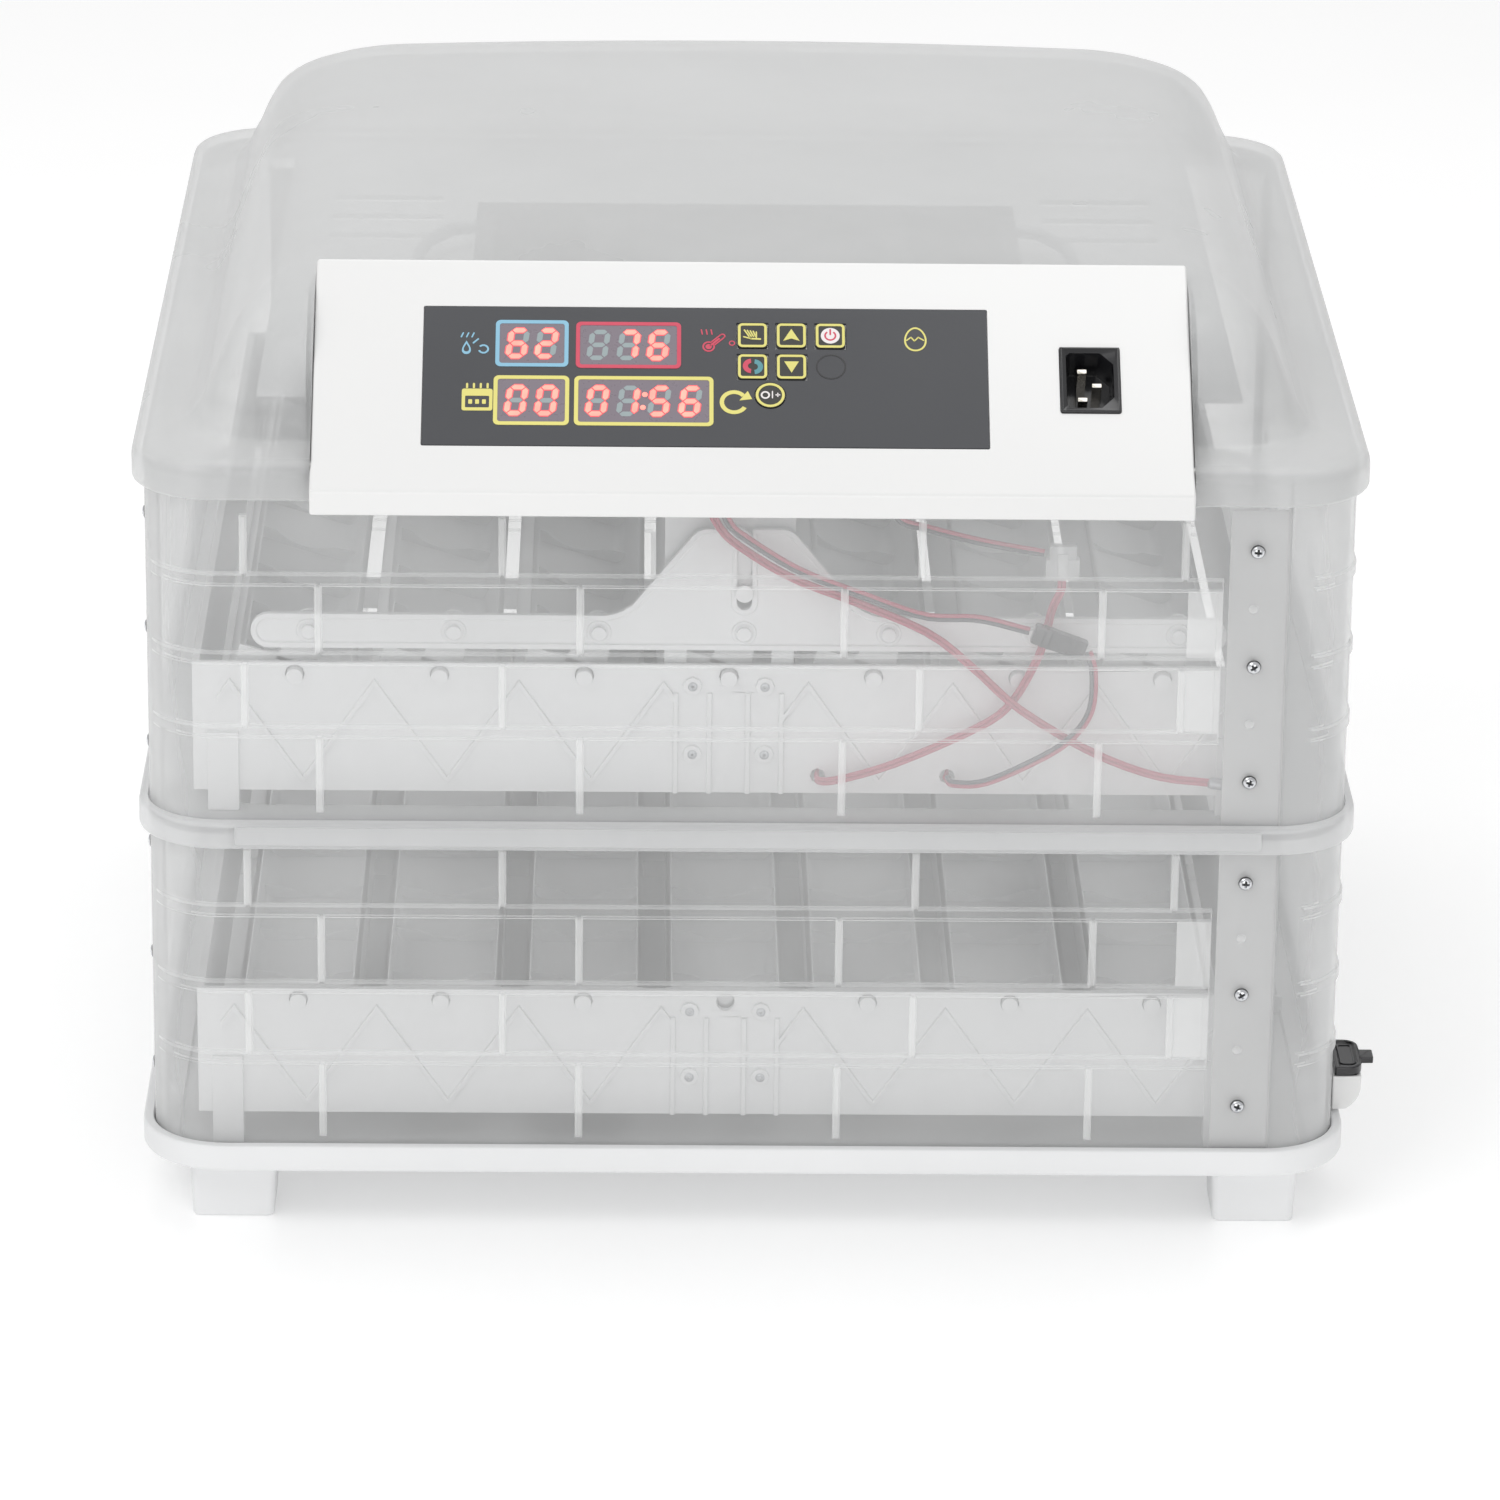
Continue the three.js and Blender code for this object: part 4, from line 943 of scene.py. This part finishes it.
def control_box():
    """The sloping cover with its skirt: a hollow wedge, with a pocket for the overlay and a hole."""
    skirt_back = -LID_HALF - 0.6
    slope = math.tan(FACE_TILT)
    drop = COVER_FACE / math.cos(FACE_TILT)

    def across(outline, x0, x1):
        return loft([[(x, y, z) for y, z in outline] for x in (x0, x1)])

    outline = [(BOX_FRONT, BOX_SKIRT), (skirt_back, BOX_SKIRT), (skirt_back, BOX_FLOOR),
               (BOX_BACK, BOX_FLOOR), (BOX_BACK, FACE_HIGH), (BOX_FRONT, FACE_LOW)]
    work = bmesh.new()
    body = mesh_of("control_box", across(outline, -BOX_HALF, BOX_HALF))
    work.from_mesh(body)
    bmesh.ops.bevel(work, geom=work.edges[:], offset=1.1 * MM, segments=4, profile=0.5, affect="EDGES",
                    clamp_overlap=True)
    work.to_mesh(body)
    work.free()
    cover = piece("control_box_shell", None, "lid", [GLOSS_WHITE], ["control_box_cover"],
                  mesh=body)
    cavity_floor = BOX_FLOOR - 0.5
    cavity_back = BOX_BACK - 2.7
    cavity = across(
        [(BOX_FRONT + (cavity_floor - FACE_LOW + drop) / slope, cavity_floor),
         (cavity_back, cavity_floor),
         (cavity_back, FACE_LOW + (cavity_back - BOX_FRONT) * slope - drop)],
        COVER_WALL - BOX_HALF, BOX_HALF - COVER_WALL)
    cut(cover, cavity)
    left, right, low, high = OVERLAY["left"], OVERLAY["right"], OVERLAY["low"], OVERLAY["high"]
    pocket = rounded_box((right - left) / 2 + 0.3, (high - low) / 2 + 0.3, 0.8, 3,
                         (right + left) / 2, (high + low) / 2)
    cut(cover, face_outline(pocket, -1.2, 5))
    socket = rounded_box(INLET["width"] / 2 + 0.3, INLET["height"] / 2 + 0.3, 1.2, 4,
                         INLET["x"], INLET["y"])
    cut(cover, face_outline(socket, -6, 5))


def inlet_outline(inset, chamfer):
    half, tall = INLET["width"] / 2 - inset, INLET["height"] / 2 - inset
    x, y = INLET["x"], INLET["y"]
    return [(x + half, y - tall + chamfer), (x + half, y + tall - chamfer), (x + half - chamfer, y + tall),
            (x - half + 1.5, y + tall), (x - half, y + tall - 1.5), (x - half, y - tall + 1.5),
            (x - half + 1.5, y - tall), (x + half - chamfer, y - tall)]


def inlet():
    """A mains inlet: a square rim that slopes in to a socket with two cut corners."""
    x, y = INLET["x"], INLET["y"]
    half, tall = INLET["width"] / 2, INLET["height"] / 2
    rim = [(x + half, y - tall + 5), (x + half, y + tall - 5), (x + half, y + tall),
           (x - half + 1.5, y + tall), (x - half, y + tall), (x - half, y - tall),
           (x - half + 1.5, y - tall), (x + half, y - tall)]

    def ring(outline, height):
        return [face_point(a, b, height) for a, b in outline]

    def grown(by):
        return [(x + (a - x) * (1 - by / half), y + (b - y) * (1 - by / tall)) for a, b in rim]

    rings = [
        ring(grown(0.2), -18.8), ring(rim, -18.4), ring(rim, 0.5), ring(grown(0.35), 0.95),
        ring(grown(1.0), 1.0), ring(inlet_outline(2.6, 5.4), 0.1), ring(inlet_outline(2.9, 5.6), -1.6),
        ring(inlet_outline(3.1, 5.8), -15.6),
    ]
    piece("inlet_body", loft(rings), "lid", [GLOSS_BLACK], ["power_inlet"], 0.15)
    pins = Shape()
    for dx, dy in ((-3, -7), (-3, 7), (3, 0)):
        outline = rounded_box(2, 1, 0.35, 3, x + dx, y + dy)
        pins.join(face_outline(outline, -15.8, -3.6, 0.35))
    plate = rounded_box(5, 9, 0.6, 3, x, y)
    pins.join(face_outline(plate, -15.7, -13.8, 0.2), paint=1)
    piece("inlet_contacts", pins, "lid", [CONTACT, GLOSS_BLACK], ["inlet_pins"])


# ---------------------------------------------------------------- overlay, displays and icons
PRINT = 0.12  # how far a printed mark stands above the overlay
SINK = 0.05  # how far it reaches into what it is printed on
WINDOWS = {
    "humidity": {"box": (-105.5, -75.5, 62, 85.2), "ink": BLUE_INK, "text": "62"},
    "temperature": {"box": (-72.5, -29.3, 61.5, 84.6), "ink": RED_INK, "text": " 76"},
    "days": {"box": (-106, -75, 33, 57.5), "ink": YELLOW_INK, "text": "00"},
    "clock": {"box": (-73, -16, 33, 57.5), "ink": YELLOW_INK, "text": "01:56"},
}
SEGMENTS = {"0": "abcdef", "1": "bc", "2": "abged", "5": "afgcd", "6": "afgedc", "7": "abc", " ": ""}
DIGIT_WIDTH = 8.6
DIGIT_HEIGHT = 15.2
SEGMENT = 2.3
SLANT = math.tan(math.radians(7))


def printed(name, shape, ink, rounding=0.0):
    piece(name, shape, "lid", [ink], rounding=rounding)


def mark(outline, base=OVERLAY_TOP, height=PRINT):
    return face_outline(outline, base - SINK, base + height)


def printed_frame(outer, inner, base=OVERLAY_TOP, height=PRINT):
    return frame_outline(outer, inner, base - SINK, base + height)


def stroke(x0, y0, x1, y1, width, base=OVERLAY_TOP, height=PRINT):
    """A bar with round ends, printed on the face."""
    start, end = Vector((x0, y0)), Vector((x1, y1))
    lean = math.degrees(math.atan2(y1 - y0, x1 - x0))
    outline = arc(*end, width / 2, lean - 90, lean + 90, 4)
    outline += arc(*start, width / 2, lean + 90, lean + 270, 4)
    return mark(outline, base, height)


def strokes(x, y, rows, base=OVERLAY_TOP):
    """Strokes about (x, y), each given by its two ends and its width."""
    shape = Shape()
    for x0, y0, x1, y1, width in rows:
        shape.join(stroke(x + x0, y + y0, x + x1, y + y1, width, base))
    return shape


def printed_ring(x, y, outer, inner, base=OVERLAY_TOP, height=PRINT, start=0, end=360, steps=32):
    """A ring, or a part of one, printed on the face."""
    if end - start >= 360:
        rings = [arc(x, y, radius, 0, 360 - 360 / steps, steps - 1) for radius in (outer, inner)]
        return printed_frame(*rings, base, height)
    outline = arc(x, y, outer, start, end, steps) + arc(x, y, inner, end, start, steps)
    return mark(outline, base, height)


def segment_outline(kind, x, y, grow=0.0):
    """One bar of a seven-segment digit whose lower left corner is at (x, y)."""
    half_width, half_height, s = DIGIT_WIDTH / 2, DIGIT_HEIGHT / 2, SEGMENT / 2 + grow
    reach = SEGMENT / 2
    level = kind in "agd"
    long = (half_width - reach if level else (half_height - reach) / 2) - 0.35 + grow
    outline = [(-long, 0), (s - long, -s), (long - s, -s), (long, 0), (long - s, s), (s - long, s)]
    if level:
        px = 0
        py = {"a": half_height - reach, "g": 0, "d": reach - half_height}[kind]
    else:
        outline = [(-b, a) for a, b in outline]
        px = (half_width - reach) * (1 if kind in "bc" else -1)
        py = (half_height - reach) / 2 * (1 if kind in "bf" else -1)
    centre_x, centre_y = x + half_width, y + half_height
    return [(centre_x + px + a + (py + b) * SLANT, centre_y + py + b) for a, b in outline]


def displays():
    base = OVERLAY_TOP
    for name, window in WINDOWS.items():
        x0, x1, y0, y1 = window["box"]
        a, b = (x0 + x1) / 2, (y0 + y1) / 2
        half_a, half_b = (x1 - x0) / 2, (y1 - y0) / 2
        rim = printed_frame(rounded_box(half_a, half_b, 2.2, 6, a, b),
                            rounded_box(half_a - 1.7, half_b - 1.7, 1.1, 6, a, b), base, 0.22)
        printed(f"{name}_window_rim", rim, window["ink"], 0.08)
        pane = mark(rounded_box(half_a - 1.6, half_b - 1.6, 1.2, 5, a, b), base, 0.05)
        printed(f"{name}_window", pane, WINDOW_GREY)
        lit, unlit, halo = Shape(), Shape(), Shape()
        digits = [c for c in window["text"] if c != ":"]
        pitch = (2 * half_a - 6.2) / len(digits)
        step = 0
        for character in window["text"]:
            x = x0 + 3.1 + pitch * step + (pitch - DIGIT_WIDTH) / 2
            y = b - DIGIT_HEIGHT / 2
            if character == ":":
                for dy in (-3.2, 3.2):
                    dot = arc(x - (pitch - DIGIT_WIDTH) / 2 + dy * SLANT, b + dy, 1.15, 0, 342, 19)
                    lit.join(mark(dot, base + 0.09, 0.07))
                continue
            for kind in "abcdefg":
                outline = segment_outline(kind, x, y)
                if kind in SEGMENTS[character]:
                    lit.join(mark(outline, base + 0.09, 0.07))
                    halo.join(mark(segment_outline(kind, x, y, 0.42), base + 0.05, 0.05))
                else:
                    unlit.join(mark(outline, base + 0.07, 0.03))
            step += 1
        printed(f"{name}_lit", lit, LIT)
        printed(f"{name}_halo", halo, HALO)
        printed(f"{name}_unlit", unlit, UNLIT)


def icons():
    """Printed marks: a fan and droplet, a calendar, a thermometer, a turning arrow and an egg."""
    x, y = -114, 73
    air = printed_ring(x + 3.6, y - 2.4, 2.3, 1.5, start=200, end=500, steps=20)
    drop = [(x - 3.4 + 2.6 * math.sin(t) * math.sin(t / 2) ** 1.4, y - 1.6 + 3.4 * math.cos(t))
            for t in (2 * math.pi * i / 24 for i in range(24))]
    inner = [(x - 3.4 + (a - x + 3.4) * 0.6, y - 1.9 + (b - y + 1.9) * 0.6) for a, b in drop]
    air.join(printed_frame(drop, inner))
    air.join(strokes(x, y, [(2.2 * i - 5.6, 3.6, 2.2 * i - 4.8, 5.6, 0.6) for i in range(3)]))
    air.join(strokes(x, y, [(-0.6, 0.6, 1.4, 2.6, 0.7)]))
    printed("air_icon", air, BLUE_INK)

    x, y = -112.6, 46
    calendar = printed_frame(rounded_box(6.3, 5.4, 1, 4, x, y - 0.6),
                             rounded_box(4.9, 2.9, 0.4, 4, x, y - 1.6))
    calendar.join(strokes(x, y, [(2.8 * i - 4.2, 5.4, 2.8 * i - 4.2, 7.2, 0.9) for i in range(4)]))
    for i in range(3):
        calendar.join(mark(rounded_box(0.8, 1.1, 0.3, 2, x - 2.8 + 2.8 * i, y - 1.6)))
    printed("calendar_icon", calendar, YELLOW_INK)

    x, y = -18, 72.6
    heat = printed_ring(x, y, 2.6, 1.9, start=60, end=390, steps=20)
    heat.join(mark(arc(x, y, 1.3, 0, 342, 19)))
    heat.join(strokes(x, y, [(1.0, 2.2, 5.0, 6.0, 0.6), (2.4, 0.8, 6.4, 4.6, 0.6)]))
    heat.join(printed_ring(x + 5.7, y + 5.3, 1.25, 0.65, start=-45, end=135, steps=8))
    heat.join(strokes(x, y, [(0.8, 0.6, 4.2, 3.9, 0.9)]))
    heat.join(strokes(x, y, [(2 * i - 2.6, 6.2, 2 * i - 3.0, 8.4, 0.55) for i in range(3)]))
    heat.join(printed_ring(x + 9.6, y + 1.8, 1.3, 0.8))
    printed("heat_icon", heat, RED_INK)

    x, y = -7.6, 45
    turn = printed_ring(x, y, 5.9, 4.1, start=40, end=330, steps=30)
    turn.join(mark([(x + 2.2, y + 0.9), (x + 7.4, y + 1.6), (x + 5.6, y + 5.6)]))
    printed("turning_icon", turn, YELLOW_INK)

    x, y = 67, 77
    egg = [(x + 4.6 * math.cos(t) * (1 - 0.12 * math.sin(t)), y + 6 * math.sin(t))
           for t in (2 * math.pi * i / 36 for i in range(36))]
    hole = [(x + (a - x) * 0.84, y + (b - y) * 0.87) for a, b in egg]
    whole = printed_frame(egg, hole)
    crack = [(-3.6, -0.6), (-1.8, 1.0), (-0.4, -0.9), (1.2, 1.0), (3.4, -0.5)]
    whole.join(strokes(x, y, [(*start, *end, 0.55) for start, end in zip(crack, crack[1:])]))
    printed("egg_icon", whole, YELLOW_INK)

    dimple = printed_ring(32.2, 62.9, 6.2, 5.6, OVERLAY_TOP, 0.1)
    printed("blank_dimple", dimple, GLOSS_BLACK)


KEYS = {
    "key_turn": (0, 78.2), "key_up": (16, 78.2), "key_power": (32, 78.2),
    "key_mode": (0, 62.6), "key_down": (16, 62.6), "key_set": (7.2, 48.4),
}
KEY_SIZE = 12.4


def key_symbol(name, x, y):
    """The marks on one key, as (shape, ink) pairs."""
    top = KEY_TOP
    if name in ("key_up", "key_down"):
        corners = [(-3.0, 2.6), (3.0, 2.6), (0, -3.0)]
        if name == "key_up":
            corners = [(-3.4, -2.7), (0, -1.5), (3.4, -2.7), (0, 3.3)]
        return [(mark([(x + a, y + b) for a, b in corners], top), YELLOW_INK)]
    if name == "key_power":
        disc = mark(arc(x, y, 3.9, 0, 350, 35), top, 0.08)
        ring = printed_ring(x, y, 2.5, 1.8, top + 0.08, 0.07, 125, 415, 28)
        ring.join(stroke(x, y + 0.6, x, y + 3.0, 0.7, top + 0.08, 0.07))
        return [(disc, WHITE_INK), (ring, RED_INK)]
    if name == "key_mode":
        warm = printed_ring(x - 0.4, y + 0.2, 3.6, 1.5, top, PRINT, 95, 265, 18)
        cool = printed_ring(x + 0.6, y - 0.2, 3.7, 1.6, top, PRINT, -85, 85, 18)
        return [(warm, RED_INK), (cool, TEAL_INK)]
    if name == "key_set":
        shape = printed_ring(x - 2.0, y, 1.9, 1.2, top)
        rows = [(0.9, -1.4, 0.9, 1.8, 0.5), (3.1, -0.7, 3.1, 0.9, 0.5), (2.3, 0.1, 3.9, 0.1, 0.5)]
        return [(shape.join(strokes(x, y, rows, top)), WHITE_INK)]
    fingers = [(1.2 * i - 3.3, 2.6 - 0.2 * i, 0.9 * i - 1.4, -0.6, 0.6) for i in range(4)]
    palm = [(-3.6, -0.8, -0.6, -1.7, 0.6), (-0.6, -1.7, 3.2, -1.9, 0.8), (1.6, 1.6, 1.6, -1.2, 0.6)]
    return [(strokes(x, y, fingers + palm, top), YELLOW_INK)]


def keys():
    half = KEY_SIZE / 2
    for name, (x, y) in KEYS.items():
        is_round = name == "key_set"

        def outline(inset, radius=2.2):
            if is_round:
                return arc(x, y, half - inset, 0, 360 - 360 / 32, 31)
            return rounded_box(half - inset, half - inset, max(radius - inset, 0.6), 6, x, y)

        body = f"{name}_body"
        pad = face_outline(outline(0), -3.6, KEY_TOP, 0.15)
        piece(f"{name}_pad", pad, body, [KEY_DARK], [name])
        rim = printed_frame(outline(0.25), outline(1.35), KEY_TOP)
        piece(f"{name}_rim", rim, body, [YELLOW_INK])
        for i, (shape, ink) in enumerate(key_symbol(name, x, y)):
            piece(f"{name}_mark_{i + 1}", shape, body, [ink])


# ---------------------------------------------------------------- egg turner
def channel_mesh(name, plain_pin_end):
    """One rocking channel about its pivot, its drive pin towards -Y."""
    shape = Shape()
    half, low, high, skin, corner = 25, -27, 3, 2, 7

    def section(inset, y):
        """A U from rim to rim."""
        h, r = half - inset, corner - inset
        foot = low + inset + r
        line = [(h, high)] + arc(h - r, foot, r, 0, -90, 6) + arc(r - h, foot, r, 270, 180, 6) + [(-h, high)]
        return [(a, y, b) for a, b in line]

    rings = [section(0, y) + section(skin, y)[::-1] for y in (skin - CHANNEL_END, CHANNEL_END - skin)]
    shape.join(loft(rings))
    plate = [(a, b) for a, _, b in section(0, 0)]
    shape.join(front_outline(plate, -CHANNEL_END, skin - CHANNEL_END, 0.3))
    shape.join(front_outline(plate, CHANNEL_END - skin, CHANNEL_END, 0.3))
    saddle = [(2 - half, low + 8), (2 - half, low + 2), (half - 2, low + 2), (half - 2, low + 8)]
    saddle += [(a, low + 30 + b) for a, b in arc(0, 0, 26.6, 300, 240, 12)]
    for i in range(9):
        shape.join(front_outline(saddle, 50 * i - 200.8, 50 * i - 199.2, 0.25))
    for side in (-1, 1):
        rim = rounded_box(1.3, CHANNEL_END - 0.2, 0.6, 3, side * (half - 1.3), 0)
        shape.join(slab(rim, high - 1.6, high, 0.3))
    ear = [(9, high - 2)] + arc(0, LINK, 6, 20, 160, 10) + [(-9, high - 2)]
    shape.join(front_outline(ear, -CHANNEL_END, skin - CHANNEL_END, 0.3))
    shape.join(rod((0, CHANNEL_END - 1, 0), (0, plain_pin_end, 0), 3.5))
    shape.join(rod((0, 1 - CHANNEL_END, LINK), (0, -PIN_END, LINK), 3))
    shape.join(rod((0, 1 - CHANNEL_END, 0), (0, -PIN_END, 0), 3.5))
    mesh = mesh_of(name, shape, True)
    mesh.materials.append(TURNER_WHITE)
    smooth(mesh)
    return mesh


def channels():
    """The lower tier is turned round, and its middle channel has no pin in the hole at the front."""
    whole = channel_mesh("channel", PIN_END - 1)
    open_ended = channel_mesh("open_channel", SHORT_PIN_END)
    for tier, tilt, facing in (("lower", 0, math.pi), ("upper", UPPER_TILT, 0)):
        z = TIER_FLOORS[tier] + PIVOT_HEIGHT
        for i, x in enumerate(PIVOTS):
            turn = Matrix.Rotation(tilt, 4, "Y") @ Matrix.Rotation(facing, 4, "Z")
            node = f"{tier}_rocker_{i + 1}"
            mesh = open_ended if node == "lower_rocker_4" else whole
            piece(f"{node}_channel", None, f"{node}_body", [TURNER_WHITE], [node],
                  place=Matrix.Translation(at(x, 0, z)) @ turn, mesh=mesh)


def drive_bar(tier):
    """A flat bar with a raised border; the upper one has a slotted tower."""
    upper = tier == "upper"
    tilt = UPPER_TILT if upper else 0
    x = TRAY_X + LINK * math.sin(tilt)
    z = TIER_FLOORS[tier] + PIVOT_HEIGHT + LINK * math.cos(tilt)
    half, reach = 7.5, 192.5
    top = z + half
    outline = arc(x - reach - 4, z, half, 270, 90, 12)
    if upper:
        tower = top + 38
        flank = [(57, top), (53.4, top + 0.7), (50, top + 2.2), (46.2, top + 4.7), (22, tower - 3.5),
                 (19.5, tower - 1), (16.5, tower), (3.1, tower)]
        outline += [(x - reach_out, height) for reach_out, height in flank]
        outline += arc(x, top + 5.9, 3.1, 180, 360, 8)
        outline += [(x + reach_out, height) for reach_out, height in flank[::-1]]
    outline += arc(x + reach, z, half, 90, -90, 12)
    side = -1 if upper else 1
    inner, outer = side * (BAR_Y - 1.5), side * (BAR_Y + 1.5)
    mesh = mesh_of("bar", loft([[(a, y, b) for a, b in outline] for y in (inner, outer)]))
    work = bmesh.new()
    work.from_mesh(mesh)
    work.faces.ensure_lookup_table()
    caps = [f for f in work.faces if len(f.verts) == len(outline)]
    front = max(caps, key=lambda f: abs(f.calc_center_median().y))
    bmesh.ops.inset_region(work, faces=[front], thickness=2.2 * MM, depth=0)
    bmesh.ops.inset_region(work, faces=[front], thickness=0.35 * MM, depth=-0.8 * MM)
    work.to_mesh(mesh)
    work.free()
    piece(f"{tier}_bar", None, f"{tier}_bar", [TURNER_WHITE], [f"{tier}_drive_bar"],
          rounding=0.25, mesh=mesh)
    bosses = Shape()
    for pivot in PIVOTS:
        px = pivot + x - TRAY_X
        bosses.join(lathe([(5.2, 0), (5.2, 2.3), (4.9, 2.7), (4.0, 2.75), (3.6, 2.4)], (px, inner, z),
                          (0, side, 0), 28))
    piece(f"{tier}_bar_bosses", bosses, f"{tier}_bar", [TURNER_WHITE])


def crank():
    """A disc on the motor's shaft, an arm, and a pin with a round head in the tower's slot."""
    z = CRANK_Z
    angle = math.asin(LINK * math.sin(UPPER_TILT) / CRANK_THROW)
    pin_x, pin_z = TRAY_X + CRANK_THROW * math.sin(angle), z - CRANK_THROW * math.cos(angle)
    y = CRANK_DISC_Y
    shape = rod((TRAY_X, y + 2.5, z), (TRAY_X, y, z), 12, 0.5, 40)
    arm = rounded_box(5, 11, 4.9, 8, 0, -CRANK_THROW / 2)
    lean = Matrix.Translation(Vector((TRAY_X, 0, z))) @ Matrix.Rotation(-angle, 4, "Y")
    shape.join(front_outline(arm, y + 0.05, y + 2.45, 0.4), lean)
    shape.join(rod((pin_x, y + 1, pin_z), (pin_x, y - 5.4, pin_z), 2.5, 0.3))
    shape.join(rod((pin_x, y - 4.1, pin_z), (pin_x, y - 5.5, pin_z), 3.75, 0.35, 32))
    shape.join(rod((TRAY_X, y + 1, z), (TRAY_X, y + 5.7, z), 2.5, 0.3))
    piece("crank_arm", shape, "crank", [TURNER_WHITE], ["turner_crank"])


def tray_screws():
    """Small heads in the four bosses on the front of each tray frame."""
    for tier, body in TIER_BODIES.items():
        shape = Shape()
        profile = [(2.0, 0), (2.0, 0.35), (1.5, 0.6), (0.6, 0.62), (0.5, 0.2)]
        for height in (22.5, 52.5):
            for dx in (-15, 15):
                start = (TRAY_X + dx, TRAY_FRONT, TIER_FLOORS[tier] + height)
                shape.join(lathe(profile, start, (0, -1, 0), 20))
        piece(f"{tier}_tray_screws", shape, body, [DULL_STEEL])


# ---------------------------------------------------------------- what the CAD nodes wear
def dress_cad_nodes():
    for name in ("front_left", "front_right", "back_left", "back_right"):
        dress(f"foot_{name}", BASE_WHITE, 0.5)
    for tier in TIER_BODIES:
        dress(f"{tier}_tray_frame", TURNER_WHITE, 0.3)
    dress("motor_bracket", INNER_WHITE, 0.3)
    dress("turner_motor", DULL_STEEL, 0.4)
    dress("lid_inner_plate", INNER_WHITE, 0.3)
    dress("fan_frame", FAN_BLACK, 0.5)
    dress("fan_rotor", FAN_BLACK, 0.3)
    dress("heater_element", DULL_STEEL, 0.0)
    dress("control_box_base", INNER_WHITE, 0.3)
    dress("display_overlay", OVERLAY_GREY, 0.18)
    dress("water_spout", GLOSS_WHITE, 0.6)
    dress("spout_cap", GLOSS_BLACK, 0.7)


CAP_TOP = (258, -196.5, 58.9)


def cap_panel():
    """The raised border on top of the spout's cap."""
    x, y, floor = CAP_TOP
    rim = frame_outline(rounded_box(3.2, 10.6, 1.8, 5, x, y), rounded_box(2.5, 9.9, 1.1, 5, x, y),
                        floor, floor + 0.5, lambda a, b, h: (a, b, h))
    piece("spout_cap_border", rim, "spout_flap", [GLOSS_BLACK], rounding=0.1)


def make_floor():
    """A wide, flat, pale sheet under the object."""
    mesh = bpy.data.meshes.new("floor")
    corners = [(x * FLOOR_HALF, y * FLOOR_HALF, 0) for x, y in ((-1, -1), (1, -1), (1, 1), (-1, 1))]
    mesh.from_pydata(corners, [], [(0, 1, 2, 3)])
    mesh.materials.append(floor_white())
    new_object("floor", mesh)


# ---------------------------------------------------------------- build
make_camera()
probe_tip()
connectors()
for lead_name in LEADS:
    make_lead(lead_name)
walls()
fasteners()
base_pan()
middle_frame()
lid_shell()
control_box()
inlet()
displays()
icons()
keys()
channels()
drive_bar("lower")
drive_bar("upper")
crank()
tray_screws()
dress_cad_nodes()
cap_panel()
make_floor()
make_lights()
bpy.context.scene.view_settings.view_transform = "Standard"
bpy.context.scene.cycles.transparent_max_bounces = 24
